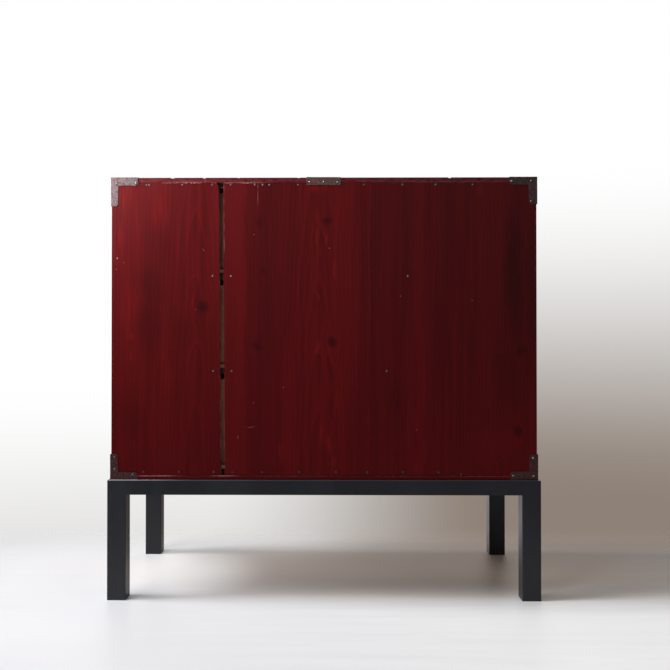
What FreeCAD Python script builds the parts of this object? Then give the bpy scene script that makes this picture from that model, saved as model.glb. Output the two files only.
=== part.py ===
import FreeCAD, Part
import math
import os

from FreeCAD import Vector

# A Japanese clothes chest (tansu) on a low modern stand, in millimetres.
# The chest is a nailed and lacquered softwood case with three tiers of full-width drawers,
# iron straps on its corners and a back of three upright boards, one of which has shrunk
# away from its neighbour. It is screwed down on a black mortised frame with square legs.
#
# +Z is up and the floor is z = 0. The drawers face -Y and the boarded back faces +Y. The
# origin lies on the floor, under the middle of the overall width and depth, pulls included.

# ----------------------------------------------------------------------------------
# Driving dimensions
# ----------------------------------------------------------------------------------

# The sides of the chest, as signs along X, Y and Z
LEFT = -1
RIGHT = 1
FRONT = -1
BACK = 1
BOTTOM = -1
TOP = 1

# Case
CASE_WIDTH = 1018.0
CASE_DEPTH = 464.0
CASE_HEIGHT = 724.0
TOP_THICKNESS = 23.0
BOTTOM_THICKNESS = 25.0
SIDE_THICKNESS = 22.0
LIP_THICKNESS = 11.5  # what the rebates leave of the top and bottom boards at their edges
BACK_THICKNESS = 8.0
CASE_EDGE_EASE = 1.0
HOUSING_DEPTH = 6.0  # how far the partitions are let into the sides
LOWER_TIER = 228.0
MIDDLE_TIER = 212.0
LOWER_PARTITION = 14.0
UPPER_PARTITION = 17.0

# Back boards
NARROW_BOARD = 261.0
MIDDLE_BOARD = 353.0
SHRINKAGE_GAP = 9.5
GAP_LEAN = 4.8  # how far the gap moves sideways from bottom to top
BACK_SEAM = 0.4
CHIP_WIDTH = 7.5  # corner broken off the narrow board at the top of the gap
CHIP_HEIGHT = 13.0

# Stand
STAND_HEIGHT = 286.0
STAND_MARGIN = 8.0  # how far the stand reaches past the case on every side
LEG_SIZE = 45.0
RAIL_HEIGHT = 35.0
RAIL_DEPTH = 42.0
STAND_EASE = 2.0
TENON_INSET = 16.0  # from the outer face of a rail to its tenon
TENON_THICKNESS = 12.0
TENON_SHOULDER = 5.0
TENON_PARTING = 2.0  # wood between the two tenons that meet in a leg

# Screws that hold the case down on the stand
SCREW_RADIUS = 2.3
SCREW_HEAD_RADIUS = 4.5
SCREW_HEAD_HEIGHT = 3.0
SCREW_RECESS = 6.0
SCREW_BITE = 16.0
SCREW_FROM_LEG = 90.0

# Iron straps and nails
IRON_THICKNESS = 1.6
IRON_ARM = 18.4
IRON_REACH = {TOP: (67.0, 67.0), BOTTOM: (66.0, 62.0)}  # of a corner iron, across and up
IRON_CLIP = 5.0  # corner clipped from the free end of an arm
STRAP_LENGTH = 83.0
IRON_NAIL_LENGTH = 16.0
BOARD_NAIL_LENGTH = 24.0
NAIL_RADIUS = 1.1
NAIL_HEAD_RADIUS = 2.1
NAIL_HEAD_HEIGHT = 1.1
GAP_NAIL_EDGE = 17.5  # from the edge of a board beside the gap to its nails
SIDE_NAIL_EDGE = 14.0
SIDE_NAIL_DROP = 194.0

# The nails were set by eye, so no two irons match. On the face of each corner iron there
# is one at the corner, one out along the top or bottom edge and one up or down the side.
# Each is placed by its share of the arm or of the reach, across and then up.
FACE_NAILS = {
    (RIGHT, TOP): ((0.60, 0.76), (0.86, 0.73), (0.52, 0.87)),
    (LEFT, TOP): ((0.71, 0.49), (0.89, 0.52), (0.73, 0.85)),
    (RIGHT, BOTTOM): ((0.43, 1.38), (0.79, 0.65), (0.43, 0.87)),
    (LEFT, BOTTOM): ((0.49, 0.57), (0.87, 0.60), (0.57, 0.86)),
}
FOLD_NAIL_SHARES = (0.30, 0.69)  # of the reach, on the arms folded onto the side and the top
STRAP_NAIL_SHARES = (-0.81, 0.0, 0.81)  # of half the strap's length, on its face
STRAP_FOLD_NAIL_SHARES = (-0.43, 0.43)  # and on its fold over the top
STRAP_NAIL_DROP = 0.58 * IRON_ARM

# Where the nails of each row stand along each back board, as a share of its width from
# its edge nearer the left side of the case. Those beside the gap keep to its edges.
TOP_ROW_SHARES = {
    "narrow": (0.345, 0.652, 0.676),
    "middle": (0.05, 0.494, 0.688, 0.733, 0.787),
    "wide": (0.386, 0.61, 0.812),
}
BOTTOM_ROW_SHARES = {
    "narrow": (0.384, 0.707),
    "middle": (0.03, 0.242, 0.493, 0.746),
    "wide": (0.596, 0.81),
}
UPPER_PARTITION_SHARES = {"wide": (0.78,)}
LOWER_PARTITION_SHARES = {"wide": (0.909,)}

# Drawers
DRAWER_SIDE_CLEARANCE = 1.5
DRAWER_TOP_CLEARANCE = 2.0
DRAWER_BOTTOM_CLEARANCE = 0.5
DRAWER_REAR_CLEARANCE = 4.0
DRAWER_RECESS = 2.0  # the fronts lie this far behind the face of the case
FRONT_THICKNESS = 20.0
FRONT_COVER = 8.0  # wood of the front that covers the ends of the drawer sides
FRONT_EASE = 1.2
DRAWER_WALL = 12.0
DRAWER_FLOOR = 7.5
DRAWER_BACK_DROP = 11.0
FINGERS = 5

# Pulls: an iron bail that hangs from two eye posts
PULL_FROM_MIDDLE = 272.0
PULL_RISE = 22.0  # height of the eyes over the middle of the drawer front
POST_SPACING = 96.0
PULL_REACH = 14.5  # from the drawer face to the axis of the bail
EYE_RADIUS = 6.0
EYE_LENGTH = 8.0
EYE_EASE = 1.2
EYE_GAP = 0.5
PIN_RADIUS = 2.2
PIN_CLEARANCE = 0.08
PIN_TAIL = 2.0
SHANK_RADIUS = 2.6
NECK_RADIUS = 3.6
SHANK_TAIL_LENGTH = 13.0
SHANK_TAIL_WIDTH = 5.0
SHANK_TAIL_THICKNESS = 1.8
SEAT_RADIUS = 13.0
SEAT_THICKNESS = 1.6
SEAT_EASE = 0.6
BAIL_DROP = 46.0
BAR_RADIUS = 3.4
KNOB_RADIUS = 4.8
BAIL_CORNER = 10.0
GRIP_RADIUS = 5.2
GRIP_LENGTH = 58.0

# Locks
LOCK_PLATE_LOBE = 23.0
LOCK_PLATE_SPREAD = 20.0  # from the middle of the plate to the middle of each lobe
LOCK_PLATE_THICKNESS = 1.6
LOCK_BOSS_RADIUS = 14.0
LOCK_BOSS_HEIGHT = 1.4
LOCK_PLATE_MARGIN = 5.0  # drawer front left above the plate
KEYHOLE_WIDTH = 5.0
KEYHOLE_HEIGHT = 13.0
LOCK_CASE_WIDTH = 62.0
LOCK_CASE_DEPTH = 13.0
LOCK_CASE_BELOW_KEYHOLE = 8.0
LOCK_CASE_PROUD = 4.0  # how far the lock case stands out inside the drawer
LOCK_CASE_TOP_DROP = 1.0
LOCK_CASE_WALL = 1.8
BOLT_WIDTH = 30.0
BOLT_THICKNESS = 4.0
BOLT_HEIGHT = 24.0
BOLT_TAIL_WIDTH = 9.0
BOLT_TAIL_LENGTH = 13.0
BOLT_TRAVEL = 8.0
BOLT_CLEARANCE = 0.4
STRIKE_CLEARANCE = 1.5

# ----------------------------------------------------------------------------------
# Planes and levels worked out from them
# ----------------------------------------------------------------------------------

stand_width = CASE_WIDTH + 2 * STAND_MARGIN
stand_depth = CASE_DEPTH + 2 * STAND_MARGIN
pull_overhang = max(0.0, PULL_REACH + max(GRIP_RADIUS, EYE_RADIUS) - DRAWER_RECESS - STAND_MARGIN)
overall_depth = stand_depth + pull_overhang
stand_back_y = overall_depth / 2
stand_front_y = stand_back_y - stand_depth
case_back_y = stand_back_y - STAND_MARGIN
case_front_y = stand_front_y + STAND_MARGIN
carcass_back_y = case_back_y - BACK_THICKNESS

case_side_x = CASE_WIDTH / 2
inner_side_x = case_side_x - SIDE_THICKNESS

case_bottom_z = STAND_HEIGHT
case_top_z = case_bottom_z + CASE_HEIGHT
lower_lip_z = case_bottom_z + LIP_THICKNESS
upper_lip_z = case_top_z - LIP_THICKNESS
lower_tier_z = case_bottom_z + BOTTOM_THICKNESS
lower_partition_z = lower_tier_z + LOWER_TIER
middle_tier_z = lower_partition_z + LOWER_PARTITION
upper_partition_z = middle_tier_z + MIDDLE_TIER
upper_tier_z = upper_partition_z + UPPER_PARTITION
upper_tier_top_z = case_top_z - TOP_THICKNESS

drawer_face_y = case_front_y + DRAWER_RECESS
drawer_inner_face_y = drawer_face_y + FRONT_THICKNESS
drawer_back_y = carcass_back_y - DRAWER_REAR_CLEARANCE
drawer_side_x = inner_side_x - DRAWER_SIDE_CLEARANCE
drawer_cover_y = drawer_face_y + FRONT_COVER

lock_back_y = drawer_inner_face_y + LOCK_CASE_PROUD
lock_front_y = lock_back_y - LOCK_CASE_DEPTH
bolt_front_y = (lock_front_y + lock_back_y - BOLT_THICKNESS) / 2
bolt_back_y = bolt_front_y + BOLT_THICKNESS

eye_y = drawer_face_y - PULL_REACH
bail_arm_x = POST_SPACING / 2 + EYE_LENGTH / 2 + EYE_GAP + KNOB_RADIUS

# The drawers from the top down: name, floor of the tier, top of the tier
TIERS = (
    ("upper", upper_tier_z, upper_tier_top_z),
    ("middle", middle_tier_z, upper_partition_z),
    ("lower", lower_tier_z, lower_partition_z),
)

# ----------------------------------------------------------------------------------
# Building helpers
# ----------------------------------------------------------------------------------

CLOSE = 1e-6  # edges are picked by their place to within this


def block(x0, x1, y0, y1, z0, z1):
    """A box between two planes on each axis, given in either order."""
    corner = Vector(min(x0, x1), min(y0, y1), min(z0, z1))
    return Part.makeBox(abs(x1 - x0), abs(y1 - y0), abs(z1 - z0), corner)


def rod(start, end, radius):
    """A round bar between two points."""
    along = end - start
    return Part.makeCylinder(radius, along.Length, start, along)


def plate(outline, thickness_vector):
    """A flat piece with a straight-sided outline, thickened along a vector."""
    return Part.Face(Part.makePolygon(outline + outline[:1])).extrude(thickness_vector)


def join(shapes):
    """One solid from solids that touch or overlap."""
    return shapes[0].multiFuse(shapes[1:]).removeSplitter()


def mirrored(shape, side_x, side_y, side_z):
    """A copy flipped across the planes through the origin where a side is negative."""
    normals = (Vector(1, 0, 0), Vector(0, 1, 0), Vector(0, 0, 1))
    for side, normal in zip((side_x, side_y, side_z), normals):
        if side < 0:
            shape = shape.mirror(Vector(0, 0, 0), normal)
    return shape


def upright_edges(shape):
    """The edges of a shape that run along Z."""
    chosen = []
    for edge in shape.Edges:
        box = edge.BoundBox
        if box.XLength < CLOSE and box.YLength < CLOSE:
            chosen.append(edge)
    return chosen


def edges_in_plane(shape, axis, value):
    """The edges that lie wholly in the plane where the given axis has the given value."""
    chosen = []
    for edge in shape.Edges:
        box = edge.BoundBox
        low = getattr(box, axis + "Min")
        high = getattr(box, axis + "Max")
        if abs(low - value) < CLOSE and abs(high - value) < CLOSE:
            chosen.append(edge)
    return chosen


def save(name, solids):
    """Write one node: a solid, or a group of separate solids."""
    shape = solids if isinstance(solids, Part.Shape) else Part.makeCompound(solids)
    shape.exportStep(os.path.join("parts", name + ".step"))


# ----------------------------------------------------------------------------------
# Nails
# ----------------------------------------------------------------------------------


def nail_shank(place, outward, length):
    """The round shank under a nail head, which is also the hole it fills."""
    return rod(place, place - outward * length, NAIL_RADIUS)


def nail(place, outward, length):
    """A forged nail with a low domed head that sits on a face at place."""
    dome_radius = (NAIL_HEAD_RADIUS**2 + NAIL_HEAD_HEIGHT**2) / (2 * NAIL_HEAD_HEIGHT)
    rim_latitude = math.degrees(math.asin((dome_radius - NAIL_HEAD_HEIGHT) / dome_radius))
    middle = place - outward * (dome_radius - NAIL_HEAD_HEIGHT)
    head = Part.makeSphere(dome_radius, middle, outward, rim_latitude, 90, 360)
    return join([head, nail_shank(place, outward, length)])


def pierced(shape, nails):
    """The shape with a hole for every nail whose shank reaches into it."""
    box = shape.BoundBox
    holes = []
    for place, outward, length in nails:
        hole = nail_shank(place, outward, length)
        if box.intersect(hole.BoundBox):
            holes.append(hole)
    return shape.cut(holes) if holes else shape


# ----------------------------------------------------------------------------------
# Stand
# ----------------------------------------------------------------------------------

rail_bottom_z = STAND_HEIGHT - RAIL_HEIGHT
tenon_length = LEG_SIZE - TENON_INSET - TENON_THICKNESS - TENON_PARTING
tenon_bottom_z = rail_bottom_z + TENON_SHOULDER
tenon_top_z = STAND_HEIGHT - TENON_SHOULDER
screw_x = stand_width / 2 - LEG_SIZE - SCREW_FROM_LEG
stand_middle_y = (stand_front_y + stand_back_y) / 2


def leg_at_origin():
    """A leg whose outer corner stands at the origin, with the leg towards -X and -Y."""
    shaft = block(-LEG_SIZE, 0, -LEG_SIZE, 0, 0, rail_bottom_z)
    shaft = shaft.makeFillet(STAND_EASE, upright_edges(shaft))
    head = block(-LEG_SIZE, 0, -LEG_SIZE, 0, rail_bottom_z, STAND_HEIGHT)
    outer = []
    for edge in upright_edges(head) + edges_in_plane(head, "Z", STAND_HEIGHT):
        box = edge.BoundBox
        on_side = box.XMin > -CLOSE
        on_face = box.YMin > -CLOSE
        is_top = box.ZMin > STAND_HEIGHT - CLOSE
        if (on_side and on_face) or (is_top and (on_side or on_face)):
            outer.append(edge)
    head = head.makeFillet(STAND_EASE, outer)
    cheeks = (-TENON_INSET - TENON_THICKNESS, -TENON_INSET)
    depths = (-LEG_SIZE, -LEG_SIZE + tenon_length)
    mortises = [
        block(*depths, *cheeks, tenon_bottom_z, tenon_top_z),
        block(*cheeks, *depths, tenon_bottom_z, tenon_top_z),
    ]
    return join([shaft, head]).cut(mortises)


def rail_at_origin(span):
    """A rail of the given clear span along X, its outer face on y = 0 and its wood towards -Y."""
    bar = block(-span / 2, span / 2, -RAIL_DEPTH, 0, rail_bottom_z, STAND_HEIGHT)
    outer = [edge for edge in edges_in_plane(bar, "Y", 0) if edge.BoundBox.ZMin > STAND_HEIGHT - CLOSE]
    bar = bar.makeFillet(STAND_EASE, outer)
    reach = span / 2 + tenon_length
    cheek_y = -TENON_INSET - TENON_THICKNESS
    tenon = block(-reach, reach, cheek_y, -TENON_INSET, tenon_bottom_z, tenon_top_z)
    return join([bar, tenon])


def hold_down_screw(x, y):
    """A screw driven up through a rail into the bottom of the case, with its recess."""
    head_z = rail_bottom_z + SCREW_RECESS
    head = Part.makeCone(SCREW_HEAD_RADIUS, SCREW_RADIUS, SCREW_HEAD_HEIGHT, Vector(x, y, head_z))
    shank_top = Vector(x, y, case_bottom_z + SCREW_BITE)
    shank = rod(Vector(x, y, head_z + SCREW_HEAD_HEIGHT), shank_top, SCREW_RADIUS)
    recess = rod(Vector(x, y, rail_bottom_z), Vector(x, y, head_z), SCREW_HEAD_RADIUS)
    return join([head, shank]), recess


def stand_screws():
    """The four screws that hold the case down, and the recesses their heads sit in."""
    screws = []
    recesses = []
    for side_y, face_y in ((FRONT, stand_front_y), (BACK, stand_back_y)):
        for side_x in (LEFT, RIGHT):
            screw, recess = hold_down_screw(side_x * screw_x, face_y - side_y * RAIL_DEPTH / 2)
            screws.append(screw)
            recesses.append(recess)
    return screws, recesses


def build_stand(screws, recesses):
    """Four legs and four rails. A leg takes the tenons of two rails in blind mortises."""
    leg = leg_at_origin()
    long_rail = rail_at_origin(stand_width - 2 * LEG_SIZE)
    short_rail = rail_at_origin(stand_depth - 2 * LEG_SIZE)
    short_rail.rotate(Vector(0, 0, 0), Vector(0, 0, 1), -90)
    for side_y, name_y, face_y in ((FRONT, "front", stand_front_y), (BACK, "back", stand_back_y)):
        for side_x, name_x in ((LEFT, "left"), (RIGHT, "right")):
            placed = mirrored(leg, side_x, side_y, 1)
            placed.translate(Vector(side_x * stand_width / 2, face_y, 0))
            save("stand_leg_" + name_y + "_" + name_x, placed)
        rail = mirrored(long_rail, 1, side_y, 1)
        rail.translate(Vector(0, face_y, 0))
        save("stand_rail_" + name_y, rail.cut(screws + recesses))
    for side_x, name_x in ((LEFT, "left"), (RIGHT, "right")):
        rail = mirrored(short_rail, side_x, 1, 1)
        rail.translate(Vector(side_x * stand_width / 2, stand_middle_y, 0))
        save("stand_rail_" + name_x, rail)
    save("stand_screws", screws)


# ----------------------------------------------------------------------------------
# Iron straps of the case
# ----------------------------------------------------------------------------------


def iron_arms(across, up):
    """The flat L of a corner iron in the plane y = 0, its corner at the origin."""
    arm = IRON_ARM
    clip = IRON_CLIP
    proud = IRON_THICKNESS
    outline = [
        Vector(proud, 0, proud),
        Vector(-across, 0, proud),
        Vector(-across, 0, -arm + clip),
        Vector(-across + clip, 0, -arm),
        Vector(-arm, 0, -arm),
        Vector(-arm, 0, -up + clip),
        Vector(-arm + clip, 0, -up),
        Vector(proud, 0, -up),
    ]
    return plate(outline, Vector(0, IRON_THICKNESS, 0))


def side_fold(up):
    """The part of a corner iron that is folded onto the side of the case."""
    outline = [
        Vector(0, IRON_THICKNESS, IRON_THICKNESS),
        Vector(0, IRON_THICKNESS, -up),
        Vector(0, -IRON_ARM + IRON_CLIP, -up),
        Vector(0, -IRON_ARM, -up + IRON_CLIP),
        Vector(0, -IRON_ARM, IRON_THICKNESS),
    ]
    return plate(outline, Vector(IRON_THICKNESS, 0, 0))


def top_fold(low_x, high_x, clip_low, clip_high):
    """The part of an iron that is folded onto the top, with its free corners clipped."""
    outline = [Vector(low_x, IRON_THICKNESS, 0), Vector(low_x, -IRON_ARM + clip_low, 0)]
    outline.append(Vector(low_x + clip_low, -IRON_ARM, 0))
    if clip_high > 0:
        outline.append(Vector(high_x - clip_high, -IRON_ARM, 0))
    outline += [Vector(high_x, -IRON_ARM + clip_high, 0), Vector(high_x, IRON_THICKNESS, 0)]
    return plate(outline, Vector(0, 0, IRON_THICKNESS))


def corner_iron(side_x, side_y, side_z):
    """A folded iron on one corner of the case, and the nails that hold it."""
    across, up = IRON_REACH[side_z]
    iron = join([iron_arms(across, up), side_fold(up)])
    if side_z == TOP:
        iron = join([iron, top_fold(-across, IRON_THICKNESS, IRON_CLIP, 0.0)])
    else:
        # The lower irons end level with the underside of the case, which stands on wood.
        iron = iron.cut(block(-across, IRON_THICKNESS, -IRON_ARM, IRON_THICKNESS, 0, IRON_THICKNESS))
    iron = mirrored(iron, side_x, side_y, side_z)
    corner = Vector(
        side_x * case_side_x,
        case_back_y if side_y == BACK else case_front_y,
        case_top_z if side_z == TOP else case_bottom_z,
    )
    iron.translate(corner)
    nails = []
    scales = ((IRON_ARM, IRON_ARM), (across, IRON_ARM), (IRON_ARM, up))
    for shares, scale in zip(FACE_NAILS[side_x, side_z], scales):
        inward = Vector(-side_x * shares[0] * scale[0], 0, -side_z * shares[1] * scale[1])
        place = corner + inward + Vector(0, side_y * IRON_THICKNESS, 0)
        nails.append((place, Vector(0, side_y, 0), IRON_NAIL_LENGTH))
    for share in FOLD_NAIL_SHARES:
        place = corner + Vector(side_x * IRON_THICKNESS, -side_y * IRON_ARM / 2, -side_z * up * share)
        nails.append((place, Vector(side_x, 0, 0), IRON_NAIL_LENGTH))
        if side_z == TOP:
            place = corner + Vector(-side_x * across * share, -side_y * IRON_ARM / 2, IRON_THICKNESS)
            nails.append((place, Vector(0, 0, 1), IRON_NAIL_LENGTH))
    return iron, nails


def edge_strap(side_y):
    """The short strap folded over the middle of the top edge, and its nails."""
    half = STRAP_LENGTH / 2
    upright = block(-half, half, 0, IRON_THICKNESS, -IRON_ARM, IRON_THICKNESS)
    strap = join([upright, top_fold(-half, half, IRON_CLIP, IRON_CLIP)])
    strap = mirrored(strap, 1, side_y, 1)
    edge = Vector(0, case_back_y if side_y == BACK else case_front_y, case_top_z)
    strap.translate(edge)
    nails = []
    for share in STRAP_NAIL_SHARES:
        place = edge + Vector(half * share, side_y * IRON_THICKNESS, -STRAP_NAIL_DROP)
        nails.append((place, Vector(0, side_y, 0), IRON_NAIL_LENGTH))
    for share in STRAP_FOLD_NAIL_SHARES:
        place = edge + Vector(half * share, -side_y * IRON_ARM / 2, IRON_THICKNESS)
        nails.append((place, Vector(0, 0, 1), IRON_NAIL_LENGTH))
    return strap, nails


def case_irons():
    """Corner irons by face of the case, both edge straps, and the nails of all of them."""
    irons = {FRONT: [], BACK: []}
    straps = []
    nails = []
    for side_y in (FRONT, BACK):
        for side_x in (LEFT, RIGHT):
            for side_z in (BOTTOM, TOP):
                iron, iron_nails = corner_iron(side_x, side_y, side_z)
                irons[side_y].append(iron)
                nails += iron_nails
        strap, strap_nails = edge_strap(side_y)
        straps.append(strap)
        nails += strap_nails
    return irons, straps, nails


# ----------------------------------------------------------------------------------
# Case
# ----------------------------------------------------------------------------------

# The three back boards meet along upright seams. These are the x of each board's edges
# at its bottom and at its top.
narrow_inner = (case_side_x - NARROW_BOARD - GAP_LEAN / 2, case_side_x - NARROW_BOARD + GAP_LEAN / 2)
middle_outer = (narrow_inner[0] - SHRINKAGE_GAP, narrow_inner[1] - SHRINKAGE_GAP)
middle_inner_x = case_side_x - NARROW_BOARD - SHRINKAGE_GAP - MIDDLE_BOARD
wide_inner_x = middle_inner_x - BACK_SEAM


def gap_edge(edge, z):
    """The x of an edge of the gap at height z."""
    share = (z - lower_lip_z) / (upper_lip_z - lower_lip_z)
    return edge[0] + (edge[1] - edge[0]) * share


def back_row_nails(z, shares):
    """A row of nails that holds the back boards to the board behind them."""
    edges = {
        "narrow": (gap_edge(narrow_inner, z), case_side_x),
        "middle": (middle_inner_x, gap_edge(middle_outer, z)),
        "wide": (-case_side_x, wide_inner_x),
    }
    places = [edges["narrow"][0] + GAP_NAIL_EDGE, edges["middle"][1] - GAP_NAIL_EDGE]
    for board, board_shares in shares.items():
        low, high = edges[board]
        places += [low + (high - low) * share for share in board_shares]
    return [(Vector(x, case_back_y, z), Vector(0, 1, 0), BOARD_NAIL_LENGTH) for x in places]


def back_nails():
    """The nails of the back: into the top, the bottom, both partitions and the right side."""
    rows = (
        ((upper_tier_top_z + upper_lip_z) / 2, TOP_ROW_SHARES),
        ((lower_lip_z + lower_tier_z) / 2, BOTTOM_ROW_SHARES),
        (upper_partition_z + UPPER_PARTITION / 2, UPPER_PARTITION_SHARES),
        (lower_partition_z + LOWER_PARTITION / 2, LOWER_PARTITION_SHARES),
    )
    nails = []
    for z, shares in rows:
        nails += back_row_nails(z, shares)
    side_nail = Vector(case_side_x - SIDE_NAIL_EDGE, case_back_y, case_top_z - SIDE_NAIL_DROP)
    nails.append((side_nail, Vector(0, 1, 0), BOARD_NAIL_LENGTH))
    return nails


def back_board(outline):
    """An upright back board with the given corners, as pairs of x and z."""
    points = [Vector(x, carcass_back_y, z) for x, z in outline]
    return plate(points, Vector(0, BACK_THICKNESS, 0))


def back_boards():
    """Three upright boards, each with a hairline seam at its ends, and one broken corner."""
    low_z = lower_lip_z + BACK_SEAM
    high_z = upper_lip_z - BACK_SEAM
    chip_x = gap_edge(narrow_inner, high_z - CHIP_HEIGHT)
    narrow = back_board([
        (case_side_x, low_z),
        (case_side_x, high_z),
        (narrow_inner[1] + CHIP_WIDTH, high_z),
        (chip_x, high_z - CHIP_HEIGHT),
        (narrow_inner[0], low_z),
    ])
    middle = back_board([
        (middle_outer[0], low_z),
        (middle_outer[1], high_z),
        (middle_inner_x, high_z),
        (middle_inner_x, low_z),
    ])
    wide = back_board([
        (wide_inner_x, low_z),
        (wide_inner_x, high_z),
        (-case_side_x, high_z),
        (-case_side_x, low_z),
    ])
    return {"back_board_narrow": narrow, "back_board_middle": middle, "back_board_wide": wide}


def rebated_board(face_z, lip_z, inner_z):
    """The top or bottom board: full size at its face, rebated for the sides and the back."""
    lip = block(-case_side_x, case_side_x, case_front_y, case_back_y, face_z, lip_z)
    lip = lip.makeFillet(CASE_EDGE_EASE, edges_in_plane(lip, "Z", face_z))
    core = block(-inner_side_x, inner_side_x, case_front_y, carcass_back_y, lip_z, inner_z)
    return join([lip, core])


def side_board(side_x):
    """A side, housed for both partitions. It stands in the rebates of the top and bottom."""
    inner_x = side_x * inner_side_x
    board = block(inner_x, side_x * case_side_x, case_front_y, carcass_back_y, lower_lip_z, upper_lip_z)
    housing_x = side_x * (inner_side_x + HOUSING_DEPTH)
    housings = [
        block(inner_x, housing_x, case_front_y, carcass_back_y, z, z + thickness)
        for z, thickness in ((lower_partition_z, LOWER_PARTITION), (upper_partition_z, UPPER_PARTITION))
    ]
    return board.cut(housings)


def partition(z, thickness):
    """A shelf between two tiers, its ends let into the sides."""
    reach = inner_side_x + HOUSING_DEPTH
    return block(-reach, reach, case_front_y, carcass_back_y, z, z + thickness)


def strike(tier_top_z):
    """The mortise over a drawer that its lock bolt rises into."""
    half = BOLT_WIDTH / 2 + STRIKE_CLEARANCE
    roof_z = tier_top_z + BOLT_TRAVEL - DRAWER_TOP_CLEARANCE - LOCK_CASE_TOP_DROP + STRIKE_CLEARANCE
    front_y = bolt_front_y - STRIKE_CLEARANCE
    return block(-half, half, front_y, bolt_back_y + STRIKE_CLEARANCE, tier_top_z, roof_z)


def build_case(screws):
    """The case, its back, its irons and every nail, with a hole in the wood for each."""
    irons, straps, iron_nails = case_irons()
    board_nails = back_nails()
    boards = back_boards()
    boards["case_top"] = rebated_board(case_top_z, upper_lip_z, upper_tier_top_z)
    boards["case_bottom"] = rebated_board(case_bottom_z, lower_lip_z, lower_tier_z).cut(screws)
    boards["case_side_left"] = side_board(LEFT)
    boards["case_side_right"] = side_board(RIGHT)
    boards["partition_upper"] = partition(upper_partition_z, UPPER_PARTITION)
    boards["partition_lower"] = partition(lower_partition_z, LOWER_PARTITION)
    roofs = ("case_top", "partition_upper", "partition_lower")
    for board_name, (_, _, tier_top_z) in zip(roofs, TIERS):
        boards[board_name] = boards[board_name].cut(strike(tier_top_z))
    for name, board in boards.items():
        save(name, pierced(board, iron_nails + board_nails))
    save("corner_irons_back", [pierced(iron, iron_nails) for iron in irons[BACK]])
    save("corner_irons_front", [pierced(iron, iron_nails) for iron in irons[FRONT]])
    save("top_edge_straps", [pierced(strap, iron_nails) for strap in straps])
    save("iron_nails", [nail(*placed) for placed in iron_nails])
    save("back_board_nails", [nail(*placed) for placed in board_nails])


# ----------------------------------------------------------------------------------
# Locks
# ----------------------------------------------------------------------------------


def lock_levels(front_top_z):
    """Heights of a lock under the top of its drawer front: case top, keyhole, case bottom."""
    case_top = front_top_z - LOCK_CASE_TOP_DROP
    keyhole = front_top_z - LOCK_PLATE_MARGIN - LOCK_PLATE_SPREAD - LOCK_PLATE_LOBE
    case_bottom = keyhole - KEYHOLE_HEIGHT / 2 - LOCK_CASE_BELOW_KEYHOLE
    return case_top, keyhole, case_bottom


def keyhole_slot(middle_z, from_y, to_y):
    """A keyhole cutter: an upright slot with round ends."""
    half_width = KEYHOLE_WIDTH / 2
    straight = KEYHOLE_HEIGHT / 2 - half_width
    slot = [block(-half_width, half_width, from_y, to_y, middle_z - straight, middle_z + straight)]
    for z in (middle_z - straight, middle_z + straight):
        slot.append(rod(Vector(0, from_y, z), Vector(0, to_y, z), half_width))
    return join(slot)


def lock_plate(middle_z):
    """A four-lobed plate in the old quince-flower outline, with a raised boss round the keyhole."""
    face_y = drawer_face_y - LOCK_PLATE_THICKNESS
    pieces = []
    for x, z in ((1, 0), (-1, 0), (0, 1), (0, -1)):
        middle = Vector(x * LOCK_PLATE_SPREAD, drawer_face_y, middle_z + z * LOCK_PLATE_SPREAD)
        pieces.append(rod(middle, middle - Vector(0, LOCK_PLATE_THICKNESS, 0), LOCK_PLATE_LOBE))
    boss_top = LOCK_BOSS_RADIUS - LOCK_BOSS_HEIGHT
    boss_foot = Vector(0, face_y, middle_z)
    boss = Part.makeCone(LOCK_BOSS_RADIUS, boss_top, LOCK_BOSS_HEIGHT, boss_foot, Vector(0, -1, 0))
    slot = keyhole_slot(middle_z, drawer_face_y, face_y - LOCK_BOSS_HEIGHT)
    return join(pieces + [boss]).cut(slot)


def lock_bolt(case_top, grow):
    """The bolt, with the tail that the key lifts. Grown sideways it is the slot for the bolt."""
    shoulder_z = case_top - BOLT_HEIGHT
    pieces = []
    for width, low_z, high_z in (
        (BOLT_WIDTH, shoulder_z, case_top),
        (BOLT_TAIL_WIDTH, shoulder_z - BOLT_TAIL_LENGTH, shoulder_z),
    ):
        half = width / 2 + grow
        pieces.append(block(-half, half, bolt_front_y - grow, bolt_back_y + grow, low_z, high_z))
    return join(pieces)


def lock_case(levels):
    """An iron box with a slot for the bolt, over a shelf and the hollow that the key turns in."""
    case_top, keyhole, case_bottom = levels
    half = LOCK_CASE_WIDTH / 2
    shell = block(-half, half, lock_front_y, lock_back_y, case_bottom, case_top)
    hollow = block(
        -half + LOCK_CASE_WALL,
        half - LOCK_CASE_WALL,
        lock_front_y + LOCK_CASE_WALL,
        lock_back_y - LOCK_CASE_WALL,
        case_bottom + LOCK_CASE_WALL,
        case_top - BOLT_HEIGHT - LOCK_CASE_WALL,
    )
    slot = keyhole_slot(keyhole, lock_front_y, lock_front_y + LOCK_CASE_WALL)
    return shell.cut([lock_bolt(case_top, BOLT_CLEARANCE), hollow, slot])


# ----------------------------------------------------------------------------------
# Pulls
# ----------------------------------------------------------------------------------


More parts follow.
